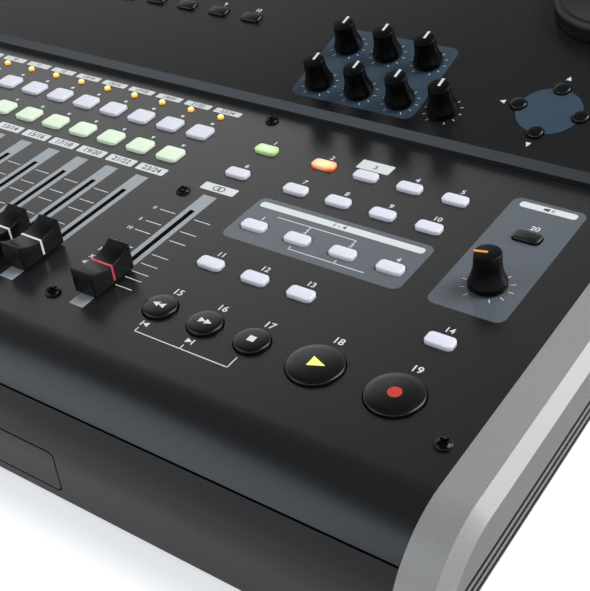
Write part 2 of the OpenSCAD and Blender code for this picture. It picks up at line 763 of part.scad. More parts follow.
// Disc drive
module disc_drive() color(steel) translate([drive_x - drive_size[0] / 2, drive_y, drive_z]) difference() {
  cube(drive_size);
  translate([drive_wall, -1, drive_wall])
    cube([drive_size[0] - 2 * drive_wall, drive_size[1] - drive_wall + 1, drive_size[2] - 2 * drive_wall]);
}

module disc_tray() color(charcoal) {
  intersection() {
    across(panel_w) case_front();
    tray_outline(0);
  }
  difference() {
    translate([drive_x - drive_size[0] / 2 + drive_wall + tray_gap, front_y + case_t - eps, tray_low])
      cube([drive_size[0] - 2 * (drive_wall + tray_gap), tray_l, tray_t]);
    translate([drive_x, front_y + case_t + tray_l / 2 + 0.5, tray_low + tray_floor]) difference() {
      rod(disc_dia, 0, tray_t);
      rod(hub[0], -1, hub[1]);
    }
  }
}

// Rear sockets
module combo_sockets() color(black) for (i = [0 : trims - 1]) on_rear(combo_at(i)) difference() {
  union() {
    block(combo_flange[0], combo_flange[1], -combo_flange_t, 0);
    rod(combo_dia, -eps, combo_l);
  }
  rod(jack_bore, -combo_flange_t - 1, jack_depth);
  difference() {
    rod(combo_groove[0], -combo_flange_t - 1, combo_groove_l);
    rod(combo_groove[1], -combo_flange_t - 2, combo_groove_l + 1);
  }
  for (a = [30, 150, 270]) rotate(a) translate([pin_ring, 0, 0])
    rod(pin_dia, -combo_flange_t - 1, combo_groove_l);
}

module jack_shell(proud, deep) {
  rod(jack_nut, -proud, 0);
  rod(jack_bush, -eps, rear_t + eps);
  block(jack_body, jack_body, rear_t, deep + jack_end);
}

module rear_sockets() color(black) {
  for (p = lines_at) on_rear(p) difference() {
    jack_shell(socket_proud, jack_depth);
    rod(jack_bore, -socket_proud - 1, jack_depth);
  }
  on_rear(dc_at) difference() {
    jack_shell(socket_proud / 2, dc_bore[1]);
    difference() {
      rod(dc_bore[0], -socket_proud, dc_bore[1]);
      rod(dc_pin, 0, dc_bore[1] + 1);
    }
  }
  on_rear(usb_at) difference() {
    block(usb_size[0], usb_size[1], 0, usb_size[2]);
    block(usb_bore[0], usb_bore[1], -1, usb_bore[2]);
  }
  on_rear(power_at) difference() {
    block(jack_body, jack_body, rear_t, power_bore_l + jack_end);
    rod(power_dia + 2 * tray_gap, 0, power_bore_l);
  }
}

module power_button() color(steel)
  on_rear(power_at) rod(power_dia, -socket_proud, power_bore_l - power_travel - 1);

// Moving pieces on the fader panel
module master_fader() color(black) on_panel([master_x, fader_y]) fader();

module channel_fader(i) color(black) on_panel([channel_x(i), fader_y]) fader();

module pair_fader(i) channel_fader(channels - tracks + i);

module mono_fader_bank(i) for (k = [0 : bank - 1]) channel_fader(bank * i + k);

function transport_dia(i) = i < 3 ? small_key_dia : big_key_dia;

module transport_key(i) color(black) on_panel(transport_at[i]) round_key(transport_dia(i), transport_h);

module function_keys() color(white_key) for (p = function_at) on_panel(p) flat_key(function_key);

module select_keys() color(white_key) for (p = select_at) on_panel(p) flat_key(channel_key);

module arm_keys() color(white_key) for (p = arm_at) on_panel(p) flat_key(channel_key);

module monitor_key() color(black) on_panel(monitor_key_at) flat_key(function_key);

module monitor_knob() color(black) on_panel(monitor_at) knob(monitor_knob_size, monitor_turn);

// Moving pieces on the deck
module deck_keys() color(black) for (p = deck_keys_at) on_deck(p) flat_key(function_key);

module cursor_keys() color(black) for (p = cursor_at) on_deck(p) round_key(cursor_dia, key_h);

module deck_knob(at) color(black) on_deck(at) knob(deck_knob_size, 0);

module jog_wheel() color(black) on_deck(jog_at) jog();

bottom_case();
main_panel();
deck_panel();
left_side_cap();
right_side_cap();
rear_panel();
rubber_feet();
panel_screws();
display_window();
display_module();
fader_board();
deck_board();
main_board();
fader_tracks();
rotary_controls();
key_switches();
track_lamps();
disc_drive();
combo_sockets();
rear_sockets();
master_fader();
for (i = [1 : tracks]) pair_fader(i - 1);
for (i = [1 : 3]) mono_fader_bank(i - 1);
transport_key(0);  // rewind_key
transport_key(1);  // forward_key
transport_key(2);  // stop_key
transport_key(3);  // play_key
transport_key(4);  // record_key
function_keys();
select_keys();
arm_keys();
monitor_key();
deck_keys();
cursor_keys();
monitor_knob();
deck_knob(phones_at);  // phones_knob
jog_wheel();
for (i = [1 : trims]) deck_knob(trim_at(i - 1));
for (i = [1 : tracks]) deck_knob(track_at(i - 1));
disc_tray();
power_button();
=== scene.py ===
"""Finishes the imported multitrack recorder: shells, prints, controls, fittings and a studio stage."""

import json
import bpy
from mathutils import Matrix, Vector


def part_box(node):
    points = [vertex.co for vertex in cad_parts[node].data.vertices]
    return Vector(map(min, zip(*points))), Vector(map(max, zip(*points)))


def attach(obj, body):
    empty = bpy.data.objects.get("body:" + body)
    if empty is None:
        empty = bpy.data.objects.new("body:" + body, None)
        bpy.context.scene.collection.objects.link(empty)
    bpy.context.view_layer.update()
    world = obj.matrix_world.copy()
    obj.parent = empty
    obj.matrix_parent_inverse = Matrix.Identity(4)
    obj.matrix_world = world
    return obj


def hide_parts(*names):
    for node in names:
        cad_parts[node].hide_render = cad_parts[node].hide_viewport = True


bl_info = {
    "name": "Digital multitrack recorder",
    "version": (1, 0, 0),
    "blender": (4, 5, 0),
    "location": "View3D > Sidebar > Recorder",
    "description": "Dresses the packed multitrack recorder and sets its stage",
    "category": "Object",
}

from math import asin, atan2, cos, pi, radians, sin

import bmesh
import bpy
from mathutils import Matrix, Vector

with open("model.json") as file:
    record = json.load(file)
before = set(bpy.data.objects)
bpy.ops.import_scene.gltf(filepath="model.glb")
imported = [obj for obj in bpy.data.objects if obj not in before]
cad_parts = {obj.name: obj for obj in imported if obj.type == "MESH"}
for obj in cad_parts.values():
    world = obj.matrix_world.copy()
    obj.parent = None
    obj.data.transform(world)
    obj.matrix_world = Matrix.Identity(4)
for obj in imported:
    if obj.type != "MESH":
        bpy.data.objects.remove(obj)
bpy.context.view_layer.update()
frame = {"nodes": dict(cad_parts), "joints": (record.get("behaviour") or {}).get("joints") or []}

MM = 0.001
HAIR = 1e-6  # points that lie closer than this are one
FULL_TURN = 2 * pi
LEVEL = radians(0.5)  # faces that meet at less than this are one flat face
SHARP = radians(32)  # an edge that turns by more than this is drawn sharp
IMAGE_H = 591
SENSOR = 36.0
CASE = "case"
CHANNELS = 18
PAIRS = 6
MONOS = CHANNELS - PAIRS
BANK = 4
TRIMS = 8
MONITOR_ROW = 114.7 * MM
PHONES_ROW = 15.5 * MM
CUT = 1 * MM  # how far a cutter reaches past the surface that it cuts
WELD = 0.1 * MM  # how far two joined forms run into each other
CROWN = (0.7, 0.012, 0.06)  # a round key's flat part, its fall there and at the edge, by its radius
CROWN_SOFT = 0.45 * MM
DOME = (0.34, 0.86, 0.4)  # a screw head's shoulder by its diameter and height, and its straight side
DOME_SOFT = ((1, 0.9 * MM), (2, 0.4 * MM))
RECESS = (0.62, 0.17, 0.35)  # a screw's recess: length and width by the head's diameter, its bottom


# Values a user would change


def linear(v):
    """Linear value of a screen level from 0 to 1."""
    return v / 12.92 if v <= 0.04045 else ((v + 0.055) / 1.055) ** 2.4


def length(name, description, mm):
    """A size property in metres, written in millimetres."""
    return bpy.props.FloatProperty(
        name=name, description=description, default=mm * MM, unit="LENGTH", precision=5)


def lengths(name, description, *mm):
    """Several sizes in metres in one property, written in millimetres."""
    return bpy.props.FloatVectorProperty(
        name=name, description=description, size=len(mm), default=[v * MM for v in mm],
        unit="LENGTH", precision=5)


def colour(name, description, *rgb):
    """A colour property, written in screen levels from 0 to 255."""
    return bpy.props.FloatVectorProperty(
        name=name, description=description, size=3, subtype="COLOR", min=0, max=1,
        default=[linear(v / 255) for v in rgb])


class RecorderSizes(bpy.types.PropertyGroup):
    """Sizes of the pieces and their rows, up the slope of the panel that carries them"""

    transport_row: length("Transport row", "Panel front to the transport keys", 54.2)
    punch_row: length("Punch row", "Panel front to the punch keys", 82.2)
    locate_row: length("Locate row", "Panel front to the locate keys", 108.4)
    select_row: length("Select row", "Panel front to the select keys", 135.6)
    arm_row: length("Arm row", "Panel front to the record-arm keys", 155.4)
    lamp_row: length("Lamp row", "Panel front to the track lamps", 169.7)
    monitor_key_row: length("Monitor key row", "Panel front to the monitor key", 145.1)
    slide_row: length("Slide row", "Panel front to a slide cap at rest", 57.3)
    key_pitch: length("Key pitch", "Distance between columns of function keys", 19.33)

    function_key: lengths("Function key", "Width and depth of a function key", 10, 5.6)
    channel_key: lengths("Channel key", "Width and depth of a channel key", 10.2, 9.2)
    key_corner: length("Key corner", "Corner radius of a key", 1.7)
    key_soft: length("Key edge", "Rounding of a key's upper edge", 0.5)
    key_height: length("Key height", "Height of a key above its panel", 1.3)
    key_flange: length("Key flange", "Reach of a key's flange under the panel", 0.9)
    flange: lengths("Flange", "Lower and upper face of a key's flange", -3.15, -2.15)
    stem: lengths("Key stem", "Diameter and lower end of a key's stem", 3, -9.3)
    small_key: length("Small transport key", "Diameter of rewind, forward and stop", 12.3)
    big_key: length("Big transport key", "Diameter of play and record", 19)
    transport_height: length("Transport height", "Height of a transport key above the panel", 1.7)
    cursor_key: length("Cursor key", "Diameter of a cursor key", 6.4)
    cursor_ring: length("Cursor ring", "Radius of the ring of cursor keys", 12.9)
    cursor_row: length("Cursor row", "Deck lip to the middle of the cursor keys", 27.6)
    input_step: length("Input step", "Distance between rows of keys on the deck", 24)
    soft_step: length("Soft key step", "Display window's edge to the keys below it", 15)
    window_at: lengths("Window place", "Middle of the display window on the deck", -4.8, 112.377)

    slide_cap: lengths("Slide cap", "Width, depth and height of a slide cap", 9.6, 20.4, 10)
    slide_gap: length("Slide gap", "Gap between a slide cap and the panel", 0.8)
    slide_dip: length("Slide dip", "Depth of a slide cap's finger dip", 2.8)
    slide_rim: length("Slide rim", "Rim at each end of the finger dip", 0.7)
    slide_line: length("Slide line", "Width of the line across a slide cap", 0.9)
    slide_edge: length("Slide edge", "Rounding of a slide cap's edges", 0.35)
    lever: lengths("Lever", "Thickness, depth and lower end of a slide lever", 1.2, 4, -9)
    slot: lengths("Slot", "Width, front end and rear end of a slide slot", 2.2, 52.8, 106.8)
    strip: lengths("Strip", "Width, front end and rear end of the strip round a slot", 6.5, 41.7, 117.7)

    monitor_knob: lengths("Monitor knob", "Foot, top and height of the monitor knob", 13.5, 9.3, 13.8)
    deck_knob: lengths("Deck knob", "Foot, top and height of a deck knob", 12.6, 9, 13)
    knob_gap: length("Knob gap", "Gap between a knob and its panel", 0.7)
    knob_skirt: length("Knob skirt", "Height of the straight foot of a knob", 1.9)
    pointer: length("Pointer", "Width of a knob's pointer line", 1.1)
    shaft: lengths("Shaft", "Diameter and lower end of a knob's shaft", 5.4, -10.8)
    jog: lengths("Jog wheel", "Diameter and height of the jog wheel", 50, 9)
    dimple: length("Dimple", "Diameter of the ball that dishes the jog wheel", 15)

    print_t: length("Print thickness", "Thickness of the printed marks", 0.03)
    inlay: length("Inlay", "How far an inlaid line stands proud", 0.05)
    tick_w: length("Tick width", "Width of a printed line", 0.37)
    plate: lengths("Number plate", "Width and depth of a channel's number plate", 14.4, 4.9)
    number: length("Number size", "Size of the numbers on the plates", 4.2)
    label: length("Label size", "Size of the numbers by the keys", 3.6)

    screw: lengths("Screw", "Head diameter, head height, thread and length", 5.8, 1.7, 3, 8)
    lamp: lengths("Lamp", "Diameter, straight height, crown and depth of a lamp", 2.8, 0.3, 1.7, 11.9)
    key_gap: length("Key gap", "Gap round a key in its hole", 0.4)
    window: lengths("Window", "Width, depth and thickness of the display window", 95.7, 53.7, 2)
    foot: lengths("Foot", "Diameter and height of a foot, diameter and top of its peg", 22, 5, 6, 8.5)
    combo: lengths("Combined socket", "Thickness of its plate, diameter of its groove", 2, 18.4)
    jack: lengths("Jack", "Collar diameter, height and bore", 12.6, 3, 6.6)
    power: lengths("Power button", "Diameter, reach and depth of the power button", 9, 3, 10.8)


class RecorderColours(bpy.types.PropertyGroup):
    """Colours of the finishes"""

    panel: colour("Panel", "Charcoal coat of the fader panel and the deck", 26, 26, 27)
    case: colour("Case", "Charcoal coat of the lower case", 23, 25, 28)
    silver: colour("Silver", "Paint of the side caps", 143, 142, 140)
    white: colour("White key", "Milky plastic of the white keys", 226, 227, 238)
    mint: colour("Mint key", "Select keys lit from below", 220, 237, 212)
    lime: colour("Lime key", "Rim of the function key lit green", 172, 222, 116)
    lime_heart: colour("Lime heart", "Middle of the function key lit green", 228, 243, 208)
    coral: colour("Coral key", "Rim of the function key lit red", 244, 92, 38)
    coral_heart: colour("Coral heart", "Middle of the function key lit red", 252, 232, 178)
    black: colour("Black", "Black plastic of caps, keys and knobs", 10, 11, 13)
    strip: colour("Strip", "Printed strips round the slide slots", 152, 159, 164)
    box: colour("Box", "Printed blue-grey boxes", 90, 96, 103)
    disc: colour("Disc", "Printed disc behind the cursor keys", 60, 78, 93)
    ink: colour("Ink", "White print", 222, 226, 226)
    dark_ink: colour("Dark ink", "Dark print on the number plates", 64, 66, 68)
    red_line: colour("Red line", "Line on the master slide cap", 205, 62, 80)
    orange: colour("Orange", "Pointer on a knob's top", 244, 152, 60)
    pink: colour("Pale line", "Pointer line down a knob's side", 224, 128, 112)
    play: colour("Play", "Lit play symbol", 215, 250, 110)
    record: colour("Record", "Record symbol", 196, 58, 42)
    amber: colour("Amber", "Heart of a lit track lamp", 255, 232, 152)
    amber_rim: colour("Amber rim", "Rim of a lit track lamp", 240, 172, 66)
    unlit: colour("Unlit lamp", "Lens of a lamp that is off", 84, 40, 24)
    nickel: colour("Nickel", "Plated nuts and rings of the sockets", 196, 194, 188)
    green_board: colour("Board", "Solder mask of the boards", 22, 74, 46)
    steel: colour("Steel", "Bare sheet steel inside", 160, 161, 163)
    display: colour("Display", "Lit segments of the display", 176, 214, 236)
    floor: colour("Floor", "Studio floor", 250, 250, 250)


def sizes():
    return bpy.context.scene.recorder_sizes


def colours():
    return bpy.context.scene.recorder_colours


# Places on the two panels


def joint(name):
    return next(j for j in frame["joints"] if j["name"] == name)


def plane_of(name, row):
    """Frame of a panel, x across, y up its slope and z out of it, from a knob that stands in a row."""
    turn = joint(name)
    out = Vector(turn["axis"]).normalized()
    up = out.cross(Vector((1, 0, 0)))
    origin = Vector(turn["pos_m"]) - up * row
    origin.x = 0
    return Matrix.Translation(origin) @ Matrix((Vector((1, 0, 0)), up, out)).transposed().to_4x4()


PANEL = plane_of("monitor_knob_turn", MONITOR_ROW)
DECK = plane_of("phones_knob_turn", PHONES_ROW)
REAR = Matrix(((-1, 0, 0, 0), (0, 0, 1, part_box("rear_panel")[1][1]), (0, 1, 0, 0), (0, 0, 0, 1)))


def at(plane, x, y, out=0.0, turn=0.0):
    """Place on a panel, turned about the panel's normal."""
    return plane @ Matrix.Translation((x, y, out)) @ Matrix.Rotation(turn, 4, "Z")


def spot(plane, name):
    """Where a knob stands on its panel."""
    here = plane.inverted() @ Vector(joint(name)["pos_m"])
    return here.x, here.y


def column(node):
    low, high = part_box(node)
    return (low[0] + high[0]) / 2


MASTER_X = column("master_fader")
RECORD_X = column("record_key")
FIRST_PAIR_X = column("pair_fader_1")
CHANNEL_PITCH = (column("pair_fader_6") - FIRST_PAIR_X) / (PAIRS - 1)
KEY_X = column("rewind_key")
CURSOR_X = column("jog_wheel")
RIGHT_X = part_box("right_side_cap")[0][0]
TRANSPORT = ("rewind_key", "forward_key", "stop_key", "play_key", "record_key")


def channel_x(i):
    return FIRST_PAIR_X + (i - MONOS) * CHANNEL_PITCH


def key_x(i):
    return KEY_X + i * sizes().key_pitch


def round_cursor(s, radius):
    """Four places round the middle of the cursor keys, each with its direction."""
    turns = [a * pi / 2 for a in range(4)]
    return [(CURSOR_X + radius * cos(turn), s.cursor_row + radius * sin(turn), turn) for turn in turns]


# Mesh making with bmesh operators, at the origin, then stamped where the panel carries it


def edges_of(geometry):
    return [e for e in geometry if isinstance(e, bmesh.types.BMEdge)]


def verts_of(geometry):
    return [v for v in geometry if isinstance(v, bmesh.types.BMVert)]


def slice_off(bm, point, normal):
    """Cuts away what lies on a plane's outer side and gives the edges of the cut."""
    cut = bmesh.ops.bisect_plane(
        bm, geom=bm.verts[:] + bm.edges[:] + bm.faces[:], dist=HAIR, plane_co=point, plane_no=normal,
        clear_outer=True)
    return edges_of(cut["geom_cut"])


def bevel(bm, edges, offset, segments=3):
    return bmesh.ops.bevel(
        bm, geom=list(edges), offset=offset, offset_type="OFFSET", segments=segments,
        profile=0.5, affect="EDGES", clamp_overlap=True, material=-1)


def round_path(bm, verts, offset, segments=4):
    return bmesh.ops.bevel(
        bm, geom=list(verts), offset=offset, offset_type="OFFSET", segments=segments,
        profile=0.5, affect="VERTICES", clamp_overlap=True, material=-1)


def block(bm, w, d, low, high, place=Matrix()):
    shift = Matrix.Translation((0, 0, (low + high) / 2))
    made = bmesh.ops.create_cube(bm, size=1, matrix=place @ shift @ Matrix.Diagonal((w, d, high - low, 1)))
    return made["verts"]


def slab(bm, w, d, corner, low, high, place=Matrix(), segments=6):
    """A block whose upright edges are rounded."""
    verts = block(bm, w, d, low, high, place)
    out = place.to_3x3() @ Vector((0, 0, 1))
    edges = {e for v in verts for e in v.link_edges}
    upright = [e for e in edges
               if abs((e.verts[0].co - e.verts[1].co).normalized().dot(out)) > 0.99]
    bevel(bm, upright, corner, segments)


def rod(bm, dia, low, high, place=Matrix(), segments=32):
    bmesh.ops.create_cone(
        bm, cap_ends=True, segments=segments, radius1=dia / 2, radius2=dia / 2, depth=high - low,
        matrix=place @ Matrix.Translation((0, 0, (low + high) / 2)))


def top_rim(bm, height):
    return [e for e in bm.edges if all(abs(v.co.z - height) < HAIR for v in e.verts)]


def sharp_edges(bm, angle):
    return [e for e in bm.edges if len(e.link_faces) == 2 and e.calc_face_angle() > radians(angle)]


def turned(points, steps=48, soft=()):
    """A closed body of revolution about z. soft gives the rounding of the points by their number."""
    bm = bmesh.new()
    verts = [bm.verts.new((r, 0, z)) for r, z in points]
    for pair in zip(verts, verts[1:]):
        bm.edges.new(pair)
    for i, offset in soft:
        round_path(bm, [verts[i]], offset)
    bmesh.ops.spin(
        bm, geom=bm.verts[:] + bm.edges[:], cent=(0, 0, 0), axis=(0, 0, 1), dvec=(0, 0, 0),
        angle=FULL_TURN, steps=steps, use_merge=True)
    bmesh.ops.remove_doubles(bm, verts=bm.verts, dist=HAIR)
    bmesh.ops.recalc_face_normals(bm, faces=bm.faces)
    return bm


def flat_outline(bm, points, thick):
    """A closed plate in the xz plane, thick along y, from the points of its outline."""
    verts = [bm.verts.new((x, -thick / 2, z)) for x, z in points]
    face = bm.faces.new(verts)
    grown = bmesh.ops.extrude_face_region(bm, geom=[face])["geom"]
    bmesh.ops.translate(
        bm, vec=(0, thick, 0), verts=verts_of(grown))
    return verts


def part_mesh(bm, name="template"):
    mesh = bpy.data.meshes.new(name)
    bm.to_mesh(mesh)
    bm.free()
    return mesh


def new_object(name, data):
    obj = bpy.data.objects.new(name, data)
    bpy.context.scene.collection.objects.link(obj)
    return obj


def carved(bm, *cutters):
    """The solid less each cutter, worked out by Blender's exact boolean."""
    body = new_object("body", part_mesh(bm))
    tools = [new_object("cutter", part_mesh(cutter)) for cutter in cutters]
    for tool in tools:
        cut = body.modifiers.new("cut", "BOOLEAN")
        cut.operation, cut.solver, cut.object = "DIFFERENCE", "EXACT", tool
    done = bpy.data.meshes.new_from_object(body.evaluated_get(bpy.context.evaluated_depsgraph_get()))
    for obj in (body, *tools):
        bpy.data.objects.remove(obj)
    result = bmesh.new()
    result.from_mesh(done)
    return result


def stamp(bm, mesh, place, material=None):
    """Adds a template's mesh at a place."""
    moved = mesh.copy()
    moved.transform(place)
    if material is not None:
        for face in moved.polygons:
            face.material_index = material
    bm.from_mesh(moved)
    bpy.data.meshes.remove(moved)


def stamped(mesh, places):
    """A template's mesh at each of its places."""
    bm = bmesh.new()
    for place in places:
        stamp(bm, mesh, place)
    return bm


def add_piece(name, bm, body, looks, nodes=(), level=False):
    """Makes a finished piece that rides on a body and may stand for CAD nodes."""
    for face in bm.faces:
        face.smooth = not level or any(
            len(e.link_faces) == 2 and LEVEL < e.calc_face_angle() < SHARP for e in face.edges)
    mesh = part_mesh(bm, name)
    mesh.set_sharp_from_angle(angle=SHARP)
    for look in looks:
        mesh.materials.append(look)
    obj = new_object(name, mesh)
    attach(obj, body)
    if nodes:
        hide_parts(*nodes)
    return obj


def node_copy(node):
    """A CAD node's mesh with its loose triangles merged, without the normals it came with."""
    mesh = frame["nodes"][node].data.copy()
    normals = mesh.attributes.get("custom_normal")
    if normals:
        mesh.attributes.remove(normals)
    bm = bmesh.new()
    bm.from_mesh(mesh)
    bpy.data.meshes.remove(mesh)
    bmesh.ops.remove_doubles(bm, verts=bm.verts, dist=HAIR)
    bmesh.ops.dissolve_degenerate(bm, edges=bm.edges, dist=HAIR)
    for face in bm.faces:
        face.material_index = 0
    return bm


def dress(node, look):
    for slot in frame["nodes"][node].material_slots:
        slot.link = "OBJECT"
        slot.material = look


class Print:
    """Thin printed marks of one colour on one panel."""

    def __init__(self, plane, level=0):
        self.plane, self.bm = plane, bmesh.new()
        self.high = (1 + level) * sizes().print_t

    def bar(self, x0, x1, y0, y1, corner=0.0):
        place = at(self.plane, (x0 + x1) / 2, (y0 + y1) / 2)
        if corner:
            slab(self.bm, x1 - x0, y1 - y0, corner, 0, self.high, place)
        else:
            block(self.bm, x1 - x0, y1 - y0, 0, self.high, place)

    def dot(self, x, y, dia, sides=32, turn=0.0):
        rod(self.bm, dia, 0, self.high, at(self.plane, x, y, 0, turn), sides)

    def arrow(self, x, y, dia, turn, stretch=1.2):
        """A triangle that points up the slope, turned to the left by turn."""
        place = at(self.plane, x, y, 0, turn) @ Matrix.Diagonal((1, stretch, 1, 1))
        rod(self.bm, dia, 0, self.high, place, 3)

    def line(self, *points):
        """A line through points, each run square to an edge of the panel."""
        half = sizes().tick_w / 2
        for (x0, y0), (x1, y1) in zip(points, points[1:]):
            self.bar(min(x0, x1) - half, max(x0, x1) + half, min(y0, y1) - half, max(y0, y1) + half)

    def dial(self, x, y, inner, outer, count=11, sweep=300):
        """Ticks round a knob."""
        for i in range(count):
            turn = radians(sweep) * (0.5 - i / (count - 1))
            place = at(self.plane, x, y, 0, turn) @ Matrix.Translation((0, (inner + outer) / 2, 0))
            block(self.bm, sizes().tick_w * 0.8, outer - inner, 0, self.high, place)

    def ring(self, x, y, inner, outer):
        points = [(inner, 0), (outer, 0), (outer, self.high), (inner, self.high), (inner, 0)]
        stamp(self.bm, part_mesh(turned(points)), at(self.plane, x, y))

    def number(self, text, x, y, size):
        curve = bpy.data.curves.new("number", "FONT")
        curve.body = str(text)
        curve.size = size
        curve.align_x, curve.align_y = "CENTER", "CENTER"
        curve.offset = size * 0.012
        curve.extrude = self.high / 2
        carrier = bpy.data.objects.new("number", curve)
        mesh = bpy.data.meshes.new_from_object(carrier)
        stamp(self.bm, mesh, at(self.plane, x, y, self.high / 2))
        bpy.data.objects.remove(carrier)

    def piece(self, name, look, slot, holes=None):
        bm = carved(self.bm, holes) if holes else self.bm
        return add_piece(name, bm, CASE, [look])


# Materials


class Sock:
    """A shader socket on which plain arithmetic adds Math nodes."""

    def __init__(self, nodes, socket):
        self.nodes, self.socket = nodes, socket

    def maths(self, operation, a, b):
        return self.nodes.node("ShaderNodeMath", {"operation": operation}, {0: a, 1: b})

    def __add__(self, other):
        return self.maths("ADD", self, other)

    def __sub__(self, other):
        return self.maths("SUBTRACT", self, other)

    def __rsub__(self, other):
        return self.maths("SUBTRACT", other, self)

    def __mul__(self, other):
        return self.maths("MULTIPLY", self, other)

    def __pow__(self, other):
        return self.maths("POWER", self, other)

    __radd__ = __add__
    __rmul__ = __mul__


class Nodes:
    """A node tree that grows one call at a time."""

    def __init__(self, tree):
        self.tree = tree

    def feed(self, socket, value):
        if isinstance(value, Sock):
            self.tree.links.new(value.socket, socket)
        elif socket.type == "RGBA" and len(value) == 3:
            socket.default_value = (*value, 1)
        else:
            socket.default_value = value

    def node(self, kind, settings=None, inputs=None, output=0):
        node = self.tree.nodes.new(kind)
        for key, value in (settings or {}).items():
            setattr(node, key, value)
        for key, value in (inputs or {}).items():
            self.feed(node.inputs[key], value)
        return Sock(self, node.outputs[output])


class Look(Nodes):
    """A material with a Principled shader, whose fixed values are set on the shader itself."""

    def __init__(self, name, **fixed):
        self.material = bpy.data.materials.new(name)
        self.material.use_nodes = True
        super().__init__(self.material.node_tree)
        self.shader = next(n for n in self.tree.nodes if n.type == "BSDF_PRINCIPLED")
        self.set(**fixed)

    def where(self, scale=(1, 1, 1), centre=(0, 0, 0), turn=(0, 0, 0)):
        """Object coordinates about a centre, turned and scaled."""
        place = self.node("ShaderNodeTexCoord", output="Object")
        return self.node("ShaderNodeMapping", {"vector_type": "TEXTURE"}, {
            "Vector": place, "Location": centre, "Rotation": turn,
            "Scale": [1 / v for v in scale]})

    def noise(self, vector, scale, detail=2.0):
        return self.node("ShaderNodeTexNoise", {}, {"Vector": vector, "Scale": scale, "Detail": detail})

    def mix(self, factor, a, b):
        return self.node("ShaderNodeMix", {"data_type": "RGBA"}, {0: factor, 6: a, 7: b}, 2)

    def bump(self, height, depth):
        return self.node("ShaderNodeBump", {}, {"Height": height, "Distance": depth, "Strength": 1.0})

    def set(self, **links):
        for socket, value in links.items():
            self.feed(self.shader.inputs[socket.replace("_", " ")], value)
        return self.material


def shade(rgb, factor):
    return [min(1.0, v * factor) for v in rgb]


def moulded(name, rgb, roughness, grain, clouds, **fixed):
    """Moulded plastic or sprayed coat. grain is the scale of the fine grain and its depth in mm, clouds
    the scale of the soft clouds in gloss and shade and how far they vary the colour."""
    look = Look(name, **fixed)
    where = look.where()
    scale, vary = clouds
    soft = look.noise(where, scale, 3.0)
    fine = look.noise(where, grain[0], 2.0)
    return look.set(
        Base_Color=look.mix(soft, shade(rgb, 1 - vary), shade(rgb, 1 + vary)),
        Roughness=roughness + (soft - 0.5) * (0.14 * roughness) + (fine - 0.5) * 0.04,
        Normal=look.bump(fine, grain[1] * MM))


def silver_paint(name, rgb, coat=0.3, gloss=0.5):
    """Metallic paint: small bright flakes in a grey ground under a satin coat."""
    look = Look(name, Metallic=0.15, Coat_Weight=coat, Coat_Roughness=0.3, Specular_IOR_Level=gloss)
    where = look.where()
    flakes = look.node("ShaderNodeTexVoronoi", {}, {"Vector": where, "Scale": 2600.0}, "Color")
    level = look.node("ShaderNodeSeparateColor", {}, {"Color": flakes})
    clouds = look.noise(where, 25.0, 3.0)
    ground = look.mix(clouds, shade(rgb, 0.94), shade(rgb, 1.05))
    return look.set(
        Base_Color=look.mix(level * 0.22, ground, shade(rgb, 1.5)),
        Roughness=0.42 + (clouds - 0.5) * 0.1 + level * 0.05,
        Normal=look.bump(look.noise(where, 1500.0), 0.006 * MM))


def lit_plastic(name, rgb, strength, heart=None, centre=None, reach=None):
    """Milky plastic with a lamp under it. A heart's colour turns to the plastic's away from its centre."""
    look = Look(name, Emission_Strength=strength, Subsurface_Weight=0.1, Subsurface_Scale=1 * MM)
    where = look.where()
    clouds = look.noise(where, 400.0, 2.0)
    fine = look.noise(where, 3000.0)
    light = look.mix(clouds, shade(rgb, 0.94), rgb)
    if heart:
        about = look.where([1 / v for v in reach], centre)
        near = look.node("ShaderNodeTexGradient", {"gradient_type": "SPHERICAL"}, {"Vector": about})
        light = look.mix(near ** 0.35, light, heart)
    return look.set(
        Base_Color=light, Emission_Color=light,
        Roughness=0.36 + (clouds - 0.5) * 0.08, Normal=look.bump(fine, 0.006 * MM))


def brushed_steel(name, rgb):
    look = Look(name, Metallic=0.9)
    where = look.where((1, 0.04, 1))
    lines = look.noise(where, 900.0, 3.0)
    clouds = look.noise(look.where(), 40.0, 3.0)
    return look.set(
        Base_Color=look.mix(clouds, shade(rgb, 0.85), rgb),
        Roughness=0.34 + (lines - 0.5) * 0.2, Normal=look.bump(lines, 0.01 * MM))


def circuit_board(name, rgb):
    """Solder mask over copper tracks, which show as paler lines."""
    look = Look(name, Coat_Weight=0.3, Coat_Roughness=0.2)
    where = look.where()
    tracks = look.node(
        "ShaderNodeTexBrick", {"offset": 0.37, "squash": 0.6},
        {"Vector": where, "Color1": shade(rgb, 0.8), "Color2": rgb, "Mortar": shade(rgb, 1.9),
         "Scale": 160.0, "Mortar Size": 0.03})
    fine = look.noise(where, 900.0)
    return look.set(
        Base_Color=tracks, Roughness=0.4 + (fine - 0.5) * 0.15, Normal=look.bump(fine, 0.01 * MM))


def smoked_glass(name):
    look = Look(name, Alpha=0.35, Coat_Weight=0.5, Coat_Roughness=0.03)
    clouds = look.noise(look.where(), 20.0)
    return look.set(
        Base_Color=look.mix(clouds, (0.004, 0.007, 0.01), (0.008, 0.012, 0.016)),
        Roughness=0.05 + (clouds - 0.5) * 0.03)


